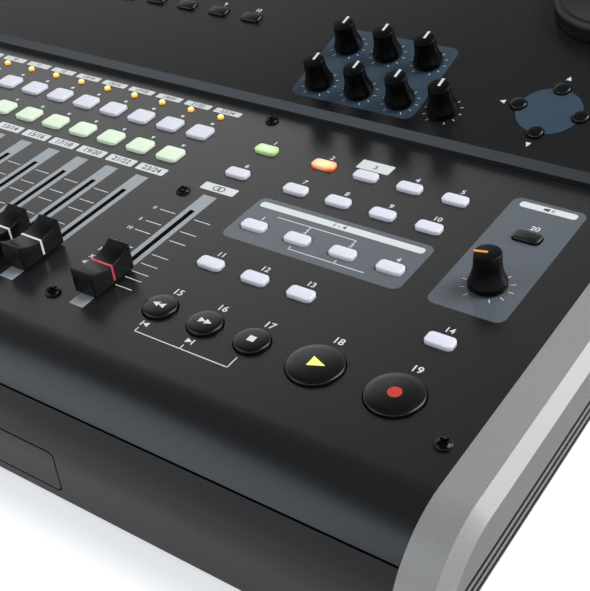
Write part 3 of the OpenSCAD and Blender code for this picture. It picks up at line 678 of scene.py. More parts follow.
class Finishes:
    """Every finish of the recorder, made once."""

    def __init__(self):
        c = colours()
        self.panel = moulded("charcoal_coat", c.panel, 0.27, (1400, 0.003), (22, 0.08))
        self.case = moulded("case_coat", c.case, 0.38, (1400, 0.004), (18, 0.06), Specular_IOR_Level=0.28)
        self.silver = silver_paint("silver_paint", c.silver)
        # The caps' outer side: the silver made darker and less glossy, a painted shade of the side that
        # the light misses
        self.silver_side = silver_paint("silver_side", shade(c.silver, 0.26), 0.1, 0.3)
        # In the grooves: the silver made nearly black, a painted shade of the recesses
        self.groove = silver_paint("silver_groove_painted_shade", shade(c.silver, 0.07))
        self.rear = moulded("rear_black_coat", c.black, 0.45, (1600, 0.018), (30, 0.1))
        self.rubber = moulded("foot_rubber", shade(c.black, 0.8), 0.75, (900, 0.03), (60, 0.15))
        self.screw = moulded(
            "screw_black", shade(c.black, 0.7), 0.22, (2600, 0.006), (300, 0.2), Metallic=0.5)
        self.white = moulded("key_white", c.white, 0.36, (2600, 0.005), (60, 0.02),
                             Subsurface_Weight=0.1, Subsurface_Scale=1 * MM)
        self.key = moulded("key_black", c.black, 0.22, (2400, 0.005), (80, 0.1))
        self.cap = moulded("slide_black", c.black, 0.3, (2200, 0.004), (90, 0.12), Specular_IOR_Level=0.21)
        self.knob = moulded("knob_black", shade(c.black, 0.4), 0.3, (2000, 0.006), (90, 0.12),
                            Specular_IOR_Level=0.12)
        self.jog = moulded("jog_black", c.black, 0.42, (1500, 0.012), (50, 0.1))
        self.ink = moulded("white_ink", c.ink, 0.5, (3000, 0.004), (200, 0.03))
        self.dark_ink = moulded("dark_ink", c.dark_ink, 0.5, (3000, 0.004), (200, 0.05))
        self.strip = moulded("strip_ink", c.strip, 0.34, (2200, 0.005), (60, 0.03))
        self.box = moulded("box_ink", c.box, 0.17, (1600, 0.002), (40, 0.04))
        self.disc = moulded("disc_ink", c.disc, 0.2, (1600, 0.004), (40, 0.05))
        self.red = moulded("red_line", c.red_line, 0.4, (2600, 0.004), (200, 0.04))
        self.pale = moulded("pale_line", c.ink, 0.4, (2600, 0.004), (200, 0.04))
        self.orange = moulded("orange_line", c.orange, 0.4, (2600, 0.004), (200, 0.04))
        self.pink = moulded("pink_line", c.pink, 0.4, (2600, 0.004), (200, 0.04))
        self.record = moulded("record_symbol", c.record, 0.4, (2600, 0.004), (200, 0.05))
        self.mint = lit_plastic("key_mint", c.mint, 0.14)
        self.play = lit_plastic("play_symbol", c.play, 0.6)
        self.lamp = lit_plastic("lamp_amber", c.amber, 0.9)
        self.lamp_rim = lit_plastic("lamp_rim", c.amber_rim, 0.8)
        self.unlit = moulded("lamp_unlit", c.unlit, 0.15, (2600, 0.004), (300, 0.1), Coat_Weight=0.5)
        self.nickel = brushed_steel("socket_nickel", c.nickel)
        self.display = lit_plastic("display_lit", c.display, 0.9)
        self.glass = smoked_glass("window_smoke")
        self.board = circuit_board("board_green", c.green_board)
        self.steel = brushed_steel("inner_steel", c.steel)
        self.socket = moulded("socket_black", shade(c.black, 0.9), 0.4, (1800, 0.01), (70, 0.12))
        self.button = moulded("button_grey", shade(c.silver, 0.5), 0.4, (1800, 0.01), (70, 0.08))


finishes = None


class RecorderOperator(bpy.types.Operator):
    """Base of the recorder's operators"""

    bl_options = {"REGISTER", "UNDO"}

    def execute(self, context):
        global finishes
        if finishes is None:
            finishes = Finishes()
        self.build(sizes(), finishes)
        return {"FINISHED"}


class RECORDER_OT_stage(RecorderOperator):
    """Camera at the photograph's place, pale floor, soft lamps and a white room"""

    bl_idname = "recorder.stage"
    bl_label = "Stage"

    # Camera's place on the panel in mm, its direction in degrees and its focal length in pixels
    camera_at = (345.34, -151.75, 227.49)
    camera_az, camera_el, camera_roll = 38.7277, 37.3281, -7.1102
    camera_px = 1115.59
    camera_clip = (0.01, 50)
    floor_size = 6.0
    floor_lift = 0.5
    # Brightness by height in the room and by direction to its window: a range, then the level at each end
    room = (0.2, 0.85, 0.92, 0.08)
    window = (0.92, 0.995, 0.0, 0.6)
    window_at = (-0.64, 0.62, 0.45)
    # Each lamp's place in metres, size, watts and tint, and the point that they all face
    lamps = {
        "side_soft": ((1.15, 0.7, 1.65), (1.2, 1.0), 30, (1.0, 1.0, 1.0)),
        "edge_soft": ((1.46, 1.22, 0.65), (0.9, 0.5), 12, (0.94, 0.97, 1.0)),
        "front_soft": ((-1.1, -1.4, 1.45), (1.6, 1.4), 12, (0.72, 0.86, 1.0)),
    }
    lamps_aim = (0.1, 0, 0.05)

    def camera(self):
        az, el, roll = radians(self.camera_az), radians(self.camera_el), radians(self.camera_roll)
        back = Vector((sin(az) * cos(el), -cos(az) * cos(el), sin(el)))
        level = Vector((cos(az), sin(az), 0))
        over = back.cross(level)
        right = cos(roll) * level + sin(roll) * over
        up = -sin(roll) * level + cos(roll) * over
        data = bpy.data.cameras.new("camera")
        data.sensor_width = SENSOR
        data.lens = self.camera_px * SENSOR / IMAGE_H
        data.clip_start, data.clip_end = self.camera_clip
        obj = new_object("camera", data)
        turn = Matrix((right, up, back)).transposed().to_4x4()
        obj.matrix_world = PANEL @ Matrix.Translation([v * MM for v in self.camera_at]) @ turn
        bpy.context.scene.camera = obj

    def floor(self):
        bm = bmesh.new()
        bmesh.ops.create_grid(bm, x_segments=4, y_segments=4, size=self.floor_size / 2)
        mesh = part_mesh(bm, "floor")
        look = Look("studio_floor", Specular_IOR_Level=0.1, Emission_Strength=self.floor_lift)
        clouds = look.noise(look.where(), 3.0)
        seen = sum(look.node("ShaderNodeLightPath", output=f"Is {ray} Ray")
                   for ray in ("Camera", "Glossy", "Transmission"))
        c = colours().floor
        mesh.materials.append(look.set(
            Base_Color=look.mix(clouds, shade(c, 0.985), c), Roughness=0.8 + (clouds - 0.5) * 0.1,
            Emission_Color=look.mix(seen, (0, 0, 0), (1, 1, 1))))
        obj = new_object("floor", mesh)

    def lamp(self, name, place, size, power, tint):
        data = bpy.data.lights.new(name, "AREA")
        data.shape, data.size, data.size_y = "RECTANGLE", *size
        data.energy, data.color = power, tint
        obj = new_object(name, data)
        look = (Vector(self.lamps_aim) - Vector(place)).to_track_quat("-Z", "Y")
        obj.matrix_world = Matrix.Translation(place) @ look.to_matrix().to_4x4()

    def world(self):
        """A white room that is dim overhead, with a soft window behind the left."""
        world = bpy.data.worlds.new("white_room")
        bpy.context.scene.world = world
        world.use_nodes = True
        room = Nodes(world.node_tree)
        facing = room.node("ShaderNodeTexCoord", output="Generated")
        height = room.node("ShaderNodeSeparateXYZ", {}, {0: facing}, "Z")
        toward = room.node(
            "ShaderNodeVectorMath", {"operation": "DOT_PRODUCT"},
            {0: facing, 1: Vector(self.window_at).normalized()}, "Value")
        names = ("Value", "From Min", "From Max", "To Min", "To Max")
        level = sum(
            room.node("ShaderNodeMapRange", {"interpolation_type": "SMOOTHSTEP"},
                      dict(zip(names, (value, *limits))))
            for value, limits in ((height, self.room), (toward, self.window)))
        background = room.tree.nodes["Background"]
        room.feed(background.inputs["Color"], (1, 1, 1))
        room.feed(background.inputs["Strength"], level)

    def build(self, s, f):
        bpy.context.scene.view_settings.view_transform = "Standard"
        self.camera()
        self.floor()
        for name, settings in self.lamps.items():
            self.lamp(name, *settings)
        self.world()


class RECORDER_OT_shells(RecorderOperator):
    """Fader panel and side caps with their rolled front, deck, lower case, rear panel and feet"""

    bl_idname = "recorder.shells"
    bl_label = "Shells"

    nose_r = 30 * MM
    nose_tangent = 28.971 * MM
    panel_tilt = 2
    seam_angle = 47.5
    nose_steps = 56
    cap_w = 15.4 * MM
    cap_bevel = 4 * MM
    cap_drop = 27.7 * MM
    cap_steps = 100
    lip_at = (183.7 * MM, 3.0 * MM)
    lip_angle = 47
    lip_cut = 0.75 * MM
    ribs = (3, 11.2 * MM)
    groove = (1.6 * MM, 1.7 * MM)
    groove_slack = 0.02 * MM
    # How far a face must turn outwards to take the painted shade of the caps' outer side
    side_on = 0.9
    # Sole, edge of the hollow and bottom of the hollow by the foot's radius, and the hollow's height
    foot_shape = (0.94, 0.6, 0.52, 0.4)
    foot_soft = ((3, 0.6 * MM), (4, 1 * MM), (5, 0.4 * MM), (6, 0.4 * MM))

    def behind_nose(self, node):
        """A CAD node's copy without what lies before the start of the nose, and the edges of the cut."""
        bm = node_copy(node)
        start = PANEL @ Vector((0, self.nose_tangent, 0))
        return bm, slice_off(bm, start, PANEL.to_3x3() @ Vector((0, -1, 0)))

    def rolled_panel(self, f):
        """The flat run of the CAD panel, with its front edge spun smoothly round the nose's axis."""
        bm, edges = self.behind_nose("main_panel")
        verts = list({v for e in edges for v in e.verts})
        last = bmesh.ops.spin(
            bm, geom=edges + verts, cent=PANEL @ Vector((0, self.nose_tangent, -self.nose_r)),
            axis=(1, 0, 0), dvec=(0, 0, 0), angle=radians(self.seam_angle),
            steps=self.nose_steps)["geom_last"]
        bmesh.ops.edgeloop_fill(bm, edges=edges_of(last))
        bmesh.ops.remove_doubles(bm, verts=bm.verts, dist=HAIR)
        bmesh.ops.recalc_face_normals(bm, faces=bm.faces)
        add_piece("fader_panel", bm, CASE, [f.panel], ["main_panel"], True)

    def groove_levels(self):
        """Middles of the grooves in the panel's frame."""
        count, band = self.ribs
        return [(i + 0.5) * band / count - self.cap_drop for i in range(count)]

    def cap_look(self, face):
        """Which paint a face of a side cap takes: 0 above, 1 on its outer side, 2 in a groove; 1 and 2 are
        painted shade.
        """
        # Faces inside a groove take the painted shade of the recess
        reach = self.groove[1] / 2 + self.groove_slack
        heights = [(PANEL.inverted() @ v.co).z for v in face.verts]
        if any(all(abs(h - z) < reach for h in heights) for z in self.groove_levels()):
            return 2
        return int(abs(face.normal.x) > self.side_on)

    def cap_nose(self):
        """The rolled front of the right side cap, spun from its section, with its grooves cut straight."""
        w, edge, r = self.cap_w, self.cap_bevel, self.nose_r
        bm = bmesh.new()
        section = [(0, -r), (0, 0), (w - edge, 0), (w, -edge), (w, -r)]
        verts = [bm.verts.new((RIGHT_X + x, self.nose_tangent, z)) for x, z in section]
        face = bm.faces.new(verts)
        bmesh.ops.spin(
            bm, geom=[face, *face.edges, *verts], cent=(0, self.nose_tangent, -r), axis=(1, 0, 0),
            dvec=(0, 0, 0), angle=radians(90 - self.panel_tilt), steps=self.cap_steps)
        bmesh.ops.remove_doubles(bm, verts=bm.verts, dist=HAIR)
        bmesh.ops.edgeloop_fill(bm, edges=slice_off(bm, (0, 0, -self.cap_drop), (0, 0, -1)))
        bmesh.ops.recalc_face_normals(bm, faces=bm.faces)
        tools = bmesh.new()
        deep, high = self.groove
        for z in self.groove_levels():
            place = Matrix.Translation((RIGHT_X + w, 0, 0))
            block(tools, 2 * deep, 4 * r, z - high / 2, z + high / 2, place)
        bm = carved(bm, tools)
        joined = [f for f in bm.faces if all(abs(v.co.y - self.nose_tangent) < HAIR for v in f.verts)]
        bmesh.ops.delete(bm, geom=joined, context="FACES")
        bmesh.ops.transform(bm, matrix=PANEL, verts=bm.verts)
        return part_mesh(bm)

    def side_caps(self, f):
        nose = self.cap_nose()
        for side, place in (("left", Matrix.Diagonal((-1, 1, 1, 1))), ("right", Matrix())):
            bm = self.behind_nose(f"{side}_side_cap")[0]
            stamp(bm, nose, place)
            bmesh.ops.remove_doubles(bm, verts=bm.verts, dist=2 * HAIR)
            bmesh.ops.recalc_face_normals(bm, faces=bm.faces)
            for face in bm.faces:
                face.material_index = self.cap_look(face)
            # The outer side and the grooves take darker copies of the silver, which are painted shade
            looks = [f.silver, f.silver_side, f.groove]
            add_piece(f"cap_{side}", bm, CASE, looks, [f"{side}_side_cap"], True)

    def deck(self, f):
        """The CAD deck with the slope along its front edge cut a little wider."""
        bm = node_copy("deck_panel")
        turn = radians(self.lip_angle)
        out = PANEL.to_3x3() @ Vector((0, -sin(turn), cos(turn)))
        lip = PANEL @ Vector((0, *self.lip_at)) - self.lip_cut * out
        bmesh.ops.edgeloop_fill(bm, edges=slice_off(bm, lip, out))
        bmesh.ops.recalc_face_normals(bm, faces=bm.faces)
        add_piece("deck", bm, CASE, [f.panel], ["deck_panel"], True)

    def feet(self, s, f):
        """Turned rubber feet, hollow in the middle, with their pegs."""
        dia, high, peg, top = s.foot
        r = dia / 2
        sole, edge, hollow, rise = self.foot_shape
        mesh = part_mesh(turned(
            [(0, top), (peg / 2, top), (peg / 2, high), (r, high), (r * sole, 0), (r * edge, 0),
             (r * hollow, high * rise), (0, high * rise)], 48, self.foot_soft))
        first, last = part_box("rubber_feet")
        places = [Matrix.Translation((x, y, 0)) for x in (first[0] + r, last[0] - r)
                  for y in (first[1] + r, last[1] - r)]
        add_piece("feet", stamped(mesh, places), CASE, [f.rubber], ["rubber_feet"])

    def build(self, s, f):
        self.rolled_panel(f)
        self.side_caps(f)
        self.deck(f)
        for name, node, look, slot in (
                ("lower_case", "bottom_case", f.case, "case_grey"),
                ("back_plate", "rear_panel", f.rear, "rear_black")):
            add_piece(name, node_copy(node), CASE, [look], [node], True)
        self.feet(s, f)


def key_hole(bm, s, plane, x, y):
    """A cutter as large as a function key's hole."""
    w, d = s.function_key[0] + 2 * s.key_gap, s.function_key[1] + 2 * s.key_gap
    slab(bm, w, d, s.key_corner + s.key_gap, -CUT, CUT, at(plane, x, y))


class RECORDER_OT_prints(RecorderOperator):
    """Printed strips, scales, plates, boxes, lines and numbers on the fader panel"""

    bl_idname = "recorder.prints"
    bl_label = "Panel prints"

    scale_rows = [y * MM for y in (101.9, 93.4, 87.0, 77.2, 71.3, 66.2, 62.4, 57.2)]
    scale_marks = ("0", "5", "10", "15", "20", "30", "40", "60")
    scale_x = 14.8 * MM
    plate_row = 123.35 * MM
    lamp_plate = (14 * MM, 172.9 * MM, 176.6 * MM)
    master_plate = (16.1 * MM, 4.9 * MM)
    locate_box = [v * MM for v in (112.8, 188.0, 98.7, 126.4)]
    locate_bar = [v * MM for v in (114.9, 185.3, 120.6, 124.0)]
    monitor_box = [v * MM for v in (198.2, 226.4, 98.5, 167.8)]
    monitor_bar = [v * MM for v in (201.5, 223.5, 162.4, 165.9)]
    key_plate = [v * MM for v in (133.5, 148.0, 160.0, 166.4)]
    box_corner = 3.4 * MM
    bar_corner = 1.4 * MM
    bracket = [v * MM for v in (40.7, 42.7, 45.8)]
    locate_lines = [v * MM for v in (117.3, 115.7, 102.3, 104.0)]
    label_over = 6.3 * MM
    big_label_over = (9.7 * MM, 13.4 * MM)
    channel_label_over = 8.4 * MM
    locate_label_over = 5.6 * MM
    locate_ends = (4.6 * MM, 7.2 * MM)
    tick_reach, tick_gap = 7.5 * MM, 1.4 * MM
    plate_corner, key_plate_corner = 0.6 * MM, 0.5 * MM
    key_plate_shift = 1 * MM
    channel_arrow, channel_dot = 2.2 * MM, 1.7 * MM
    stereo_rings = (1.1 * MM, 1.2 * MM, 1.65 * MM)
    dial = (0.7 * MM, 2.6 * MM)
    # Loudspeaker sign: its box, its cone's place and size, and each wave's place and half height
    speaker = [v * MM for v in (-1.7, -0.7, -0.6, 0.6)]
    cone = (-0.4 * MM, 2.6 * MM)
    waves = ((1.2 * MM, 0.6 * MM), (1.9 * MM, 1.0 * MM))
    wave_w = 0.3 * MM
    # Signs for to start and to end: arrow's size and drop, bar's place, half width and half height
    to_start_in = 1.4 * MM
    to_arrow = (2.6 * MM, 0.6 * MM)
    to_bar = (1.9 * MM, 0.25 * MM, 1.2 * MM)
    # Sizes of numbers, against the label's or the plate number's
    scale_label, lamp_label, locate_label, small_label, big_label = 0.72, 0.76, 0.85, 0.9, 1.15

    def strips(self, s, f):
        ink = Print(PANEL)
        half_slot, half = s.slot[0] / 2, s.strip[0] / 2
        for x in [channel_x(i) for i in range(CHANNELS)] + [MASTER_X]:
            ink.bar(x - half, x - half_slot, s.strip[1], s.strip[2])
            ink.bar(x + half_slot, x + half, s.strip[1], s.strip[2])
            ink.bar(x - half_slot, x + half_slot, s.strip[1], s.slot[1])
            ink.bar(x - half_slot, x + half_slot, s.slot[2], s.strip[2])
        ink.piece("strip_prints", f.strip, "panel_charcoal")

    def boxes(self, s, f):
        ink, holes = Print(PANEL), bmesh.new()
        for x0, x1, y0, y1 in (self.locate_box, self.monitor_box):
            ink.bar(x0, x1, y0, y1, self.box_corner)
        for i in range(4):
            key_hole(holes, s, PANEL, key_x(i), s.locate_row)
        key_hole(holes, s, PANEL, RECORD_X, s.monitor_key_row)
        ink.piece("box_prints", f.box, "panel_charcoal", holes)

    def scales(self, s, ink):
        reach, gap = self.tick_reach, s.strip[0] / 2 + self.tick_gap
        half = s.tick_w / 2
        for y, mark in zip(self.scale_rows, self.scale_marks):
            ink.bar(MASTER_X + gap, MASTER_X + gap + reach, y - half, y + half)
            ink.bar(MASTER_X - gap - reach, MASTER_X - gap, y - half, y + half)
            ink.number(mark, MASTER_X - self.scale_x, y, s.label * self.scale_label)
        for i in range(CHANNELS - 1):
            x = channel_x(i) + CHANNEL_PITCH / 2
            for y in self.scale_rows:
                ink.bar(x - reach / 2, x + reach / 2, y - half, y + half)

    def plates(self, s, ink, dark):
        w, d = s.plate
        corner, row = self.plate_corner, self.plate_row
        for i in range(CHANNELS):
            x, first = channel_x(i), 2 * i + 1 - MONOS
            text = i + 1 if i < MONOS else f"{first}/{first + 1}"
            ink.bar(x - w / 2, x + w / 2, row - d / 2, row + d / 2, corner)
            dark.number(text, x, row, s.number)
            width, y0, y1 = self.lamp_plate
            ink.bar(x - width / 2, x + width / 2, y0, y1, corner)
            dark.number(text, x, (y0 + y1) / 2, s.number * self.lamp_label)
            ink.arrow(x, s.select_row + self.channel_label_over, self.channel_arrow, pi)
            ink.dot(x, s.arm_row + self.channel_label_over, self.channel_dot)
        w, d = self.master_plate
        ink.bar(MASTER_X - w / 2, MASTER_X + w / 2, row - d / 2, row + d / 2, corner)
        aside, inner, outer = self.stereo_rings
        for side in (-1, 1):
            dark.ring(MASTER_X + side * aside, row, inner, outer)

    def labels(self, s, ink, dark):
        """Plain numbers by the keys, counted row by row."""
        x0, x1, y0, y1 = self.key_plate
        ink.bar(x0, x1, y0, y1, self.key_plate_corner)
        count = 0
        for y in (s.arm_row, s.select_row):
            for x in [MASTER_X] + [key_x(i) for i in range(4)]:
                count += 1
                if x0 < x < x1 and y == s.arm_row:
                    dark.number(count, x, y + self.label_over + self.key_plate_shift, s.label)
                else:
                    ink.number(count, x, y + self.label_over, s.label)
        for x in [key_x(i) for i in range(3)] + [RECORD_X]:
            count += 1
            ink.number(count, x, s.punch_row + self.label_over, s.label)
        for node, over in zip(TRANSPORT, (0, 0, 0, 1, 1)):
            count += 1
            y = s.transport_row + self.big_label_over[over]
            ink.number(count, column(node), y, s.label * self.big_label)
        ink.number(count + 1, RECORD_X, s.monitor_key_row + self.label_over, s.label)
        for i in range(4):
            y = s.locate_row + self.locate_label_over
            ink.number(i + 1, key_x(i), y, s.label * self.small_label)

    def monitor_dial(self, s, ink, dark):
        x, y = spot(PANEL, "monitor_knob_turn")
        foot = s.monitor_knob[0] / 2
        ink.dial(x, y, foot + self.dial[0], foot + self.dial[1])
        x0, x1, y0, y1 = self.monitor_bar
        ink.bar(x0, x1, y0, y1, self.bar_corner)
        x, y = (x0 + x1) / 2, (y0 + y1) / 2
        left, right, low, high = self.speaker
        dark.bar(x + left, x + right, y + low, y + high)
        dark.arrow(x + self.cone[0], y, self.cone[1], pi / 2)
        for step, reach in self.waves:
            dark.bar(x + step, x + step + self.wave_w, y - reach, y + reach)

    def locate(self, s, ink, dark):
        x0, x1, y0, y1 = self.locate_bar
        ink.bar(x0, x1, y0, y1, self.bar_corner)
        dark.number("1 - 4", (x0 + x1) / 2, (y0 + y1) / 2, s.label * self.locate_label)
        top, drop, low, rise = self.locate_lines
        first, last = key_x(0) + self.locate_ends[0], key_x(3) - self.locate_ends[1]
        ink.line((first, top), (key_x(2), top), (key_x(2), drop))
        ink.line((key_x(1), top), (key_x(1), drop))
        ink.line((key_x(1), rise), (key_x(1), low), (last, low))
        ink.line((key_x(2), low), (key_x(2), rise))

    def to_marks(self, ink):
        """Bracket under the small transport keys, with the signs for to start and to end."""
        low, mid, high = self.bracket
        ink.line((key_x(0), mid), (key_x(0), low), (key_x(2), low), (key_x(2), high))
        ink.line((key_x(1), low), (key_x(1), mid))
        size, drop = self.to_arrow
        step, half, reach = self.to_bar
        for x, side in ((key_x(0) + self.to_start_in, -1), (key_x(1), 1)):
            y, end = high - drop, x + side * step
            ink.arrow(x, y, size, -side * pi / 2)
            ink.bar(end - half, end + half, y - reach, y + reach)

    def build(self, s, f):
        self.strips(s, f)
        self.boxes(s, f)
        ink, dark = Print(PANEL, 1), Print(PANEL, 2)
        self.scales(s, ink)
        self.plates(s, ink, dark)
        self.labels(s, ink, dark)
        self.monitor_dial(s, ink, dark)
        self.locate(s, ink, dark)
        self.to_marks(ink)
        ink.piece("white_prints", f.ink, "panel_charcoal")
        dark.piece("dark_prints", f.dark_ink, "panel_charcoal")


class RECORDER_OT_deck_prints(RecorderOperator):
    """Printed disc, patch, frame, dials and numbers on the deck, and the lit marks of the display"""

    bl_idname = "recorder.deck_prints"
    bl_label = "Deck prints"

    disc_r = 13 * MM
    arrow_ring = 19.4 * MM
    patch = [v * MM for v in (80.5, 140.3, 6.4, 52.0)]
    patch_corner = 4 * MM
    bezel, bezel_gap = 2.4 * MM, 0.3 * MM
    dial = (0.7 * MM, 1.9 * MM)
    trim_label_under = 14.5 * MM
    key_line = (3 * MM, 5 * MM)
    key_label_over = 5.8 * MM
    small_label = 0.9
    arrow = 2.6 * MM
    # Jog wheel's arrows: their ring outside the wheel, their place across and up by its radius, their turn
    jog_ring, jog_arrow_at, jog_arrow_turn = 4 * MM, (0.5, 0.9), 120
    # Display: lift of its marks, then places and sizes by the window's width and depth
    marks_lift = 0.02 * MM
    counter_at, counter_size = 0.22, 0.3
    rule_at, rule_half = 0.02, 0.44
    meters, meter_base, meter_pitch = 24, 0.42, 3.5 * MM
    segment_half, segment_high, segment_step = 1.3 * MM, 1.6 * MM, 2.1 * MM
    least_segments, more_segments, meter_wave = 2, 7, 1.7

    def colour_fields(self, s, f):
        ink, holes = Print(DECK), bmesh.new()
        ink.dot(CURSOR_X, s.cursor_row, 2 * self.disc_r, 96)
        for x, y, _ in round_cursor(s, s.cursor_ring):
            rod(holes, s.cursor_key + 2 * s.key_gap, -CUT, CUT, at(DECK, x, y))
        x0, x1, y0, y1 = self.patch
        ink.bar(x0, x1, y0, y1, self.patch_corner)
        ink.piece("disc_prints", f.disc, "panel_charcoal", holes)

    def frame_lines(self, s, ink):
        """The bezel round the display."""
        x, y = s.window_at
        w, d, edge = s.window[0] / 2 + self.bezel_gap, s.window[1] / 2 + self.bezel_gap, self.bezel
        ink.bar(x - w - edge, x - w, y - d - edge, y + d + edge)
        ink.bar(x + w, x + w + edge, y - d - edge, y + d + edge)
        ink.bar(x - w, x + w, y + d, y + d + edge)
        ink.bar(x - w, x + w, y - d - edge, y - d)

    def numbers(self, s, ink):
        inner, outer = (s.deck_knob[0] / 2 + reach for reach in self.dial)
        half, over = self.key_line
        for i in range(TRIMS):
            x, y = spot(DECK, f"trim_knob_{i + 1}_turn")
            ink.dial(x, y, inner, outer)
            ink.number(i + 1, x, y - self.trim_label_under, s.label)
            for j in (1, 2):
                row = y - j * s.input_step + over
                ink.line((x - half, row), (x + half, row))
        for name in ["phones_knob"] + [f"track_knob_{i + 1}" for i in range(PAIRS)]:
            ink.dial(*spot(DECK, f"{name}_turn"), inner, outer)
        over, size = self.key_label_over, s.label * self.small_label
        wx, wy = s.window_at
        for i in range(5):
            x = wx + (i - 2) * s.key_pitch
            for j in (0, 1):
                row = wy - s.window[1] / 2 - s.soft_step - j * s.input_step
                ink.number(5 * j + i + 1, x, row + over, size)
        for i in range(3):
            x = spot(DECK, f"track_knob_{i + 1}_turn")[0]
            for j in (0, 1):
                ink.number(3 - i + 3 * j, x, wy + (0.5 - j) * s.input_step + over, size)

    def arrows(self, s, ink):
        for x, y, turn in round_cursor(s, self.arrow_ring):
            ink.arrow(x, y, self.arrow, turn - pi / 2)
        x, y = spot(DECK, "jog_wheel_spin")
        across, up = (v * (s.jog[0] / 2 + self.jog_ring) for v in self.jog_arrow_at)
        for side in (-1, 1):
            ink.arrow(x + side * across, y + up, self.arrow, -side * radians(self.jog_arrow_turn))

    def display(self, s, f):
        """A counter and level bars on the module's face, seen through the window."""
        w, d, thick = s.window
        marks = Print(at(DECK, *s.window_at, self.marks_lift - thick))
        marks.number("00:00:00", 0, d * self.counter_at, d * self.counter_size)
        half = self.segment_half
        for i in range(self.meters):
            x = (i - (self.meters - 1) / 2) * self.meter_pitch
            more = int(self.more_segments * abs(sin(self.meter_wave * i)))
            for k in range(self.least_segments + more):
                y = k * self.segment_step - d * self.meter_base
                marks.bar(x - half, x + half, y, y + self.segment_high)
        reach, y = w * self.rule_half, d * self.rule_at
        marks.line((-reach, y), (reach, y))
        marks.piece("display_marks", f.display, "module_dark")

    def build(self, s, f):
        self.colour_fields(s, f)
        bezel = Print(DECK)
        self.frame_lines(s, bezel)
        bezel.piece("bezel_prints", f.box, "panel_charcoal")
        ink = Print(DECK, 1)
        self.numbers(s, ink)
        self.arrows(s, ink)
        ink.piece("deck_white_prints", f.ink, "panel_charcoal")
        self.display(s, f)


class RECORDER_OT_slides(RecorderOperator):
    """Dished slide caps with an inlaid line, on their levers"""

    bl_idname = "recorder.slides"
    bl_label = "Slide controls"

    dip_steps = 18
    eased_angle = 25
    line_low = 1 * MM

    def cap_mesh(self, s):
        w, d, h = s.slide_cap
        low, top = s.slide_gap, s.slide_gap + h
        reach = d / 2 - s.slide_rim
        radius = (reach * reach + s.slide_dip ** 2) / (2 * s.slide_dip)
        bm = bmesh.new()
        start = bm.verts.new((-w / 2, -reach, top))
        centre = (-w / 2, 0, top - s.slide_dip + radius)
        arc = bmesh.ops.spin(
            bm, geom=[start], cent=centre, axis=(1, 0, 0), dvec=(0, 0, 0),
            angle=2 * asin(reach / radius), steps=self.dip_steps)["geom_last"]
        end = next(v for v in arc if isinstance(v, bmesh.types.BMVert))
        corners = [bm.verts.new((-w / 2, y, z)) for y, z in (
            (d / 2, top), (d / 2, low), (-d / 2, low), (-d / 2, top))]
        for pair in zip([end] + corners, corners + [start]):
            bm.edges.new(pair)
        face = bmesh.ops.edgeloop_fill(bm, edges=bm.edges[:])["faces"]
        grown = bmesh.ops.extrude_face_region(bm, geom=face)["geom"]
        bmesh.ops.translate(
            bm, vec=(w, 0, 0), verts=verts_of(grown))
        bmesh.ops.recalc_face_normals(bm, faces=bm.faces)
        bevel(bm, sharp_edges(bm, self.eased_angle), s.slide_edge)
        block(bm, s.lever[0], s.lever[1], s.lever[2], low + s.slide_edge)
        line = block(bm, w + 2 * s.inlay, s.slide_line, low + self.line_low, top - s.slide_dip + s.inlay)
        for face in {face for v in line for face in v.link_faces}:
            face.material_index = 1
        return part_mesh(bm)

    def build(self, s, f):
        cap = self.cap_mesh(s)
        banks = {"master_fader": [MASTER_X]}
        for i in range(PAIRS):
            banks[f"pair_fader_{i + 1}"] = [channel_x(MONOS + i)]
        for b in range(MONOS // BANK):
            banks[f"mono_fader_bank_{b + 1}"] = [channel_x(BANK * b + k) for k in range(BANK)]
        for node, columns in banks.items():
            bm = stamped(cap, [at(PANEL, x, s.slide_row) for x in columns])
            line = f.red if node == "master_fader" else f.pale
            add_piece(f"{node}_cap", bm, node, [f.cap, line], [node])


def flat_key(s, size):
    """A rounded key with its flange under the panel and its stem."""
    bm = bmesh.new()
    w, d = size
    low, high = s.flange
    slab(bm, w, d, s.key_corner, high - WELD, s.key_height)
    bevel(bm, top_rim(bm, s.key_height), s.key_soft, 4)
    block(bm, w + 2 * s.key_flange, d + 2 * s.key_flange, low, high)
    rod(bm, s.stem[0], s.stem[1], low + WELD)
    return part_mesh(bm)


def round_key(s, dia, height):
    """A round key with a low crown, its flange and its stem."""
    r, stem = dia / 2, s.stem[0] / 2
    wide = r + s.key_flange
    low, high = s.flange
    flat, fall, drop = CROWN
    return part_mesh(turned(
        [(0, height), (r * flat, height - r * fall), (r, height - r * drop), (r, high), (wide, high),
         (wide, low), (stem, low), (stem, s.stem[1]), (0, s.stem[1])], 64, [(2, CROWN_SOFT)]))


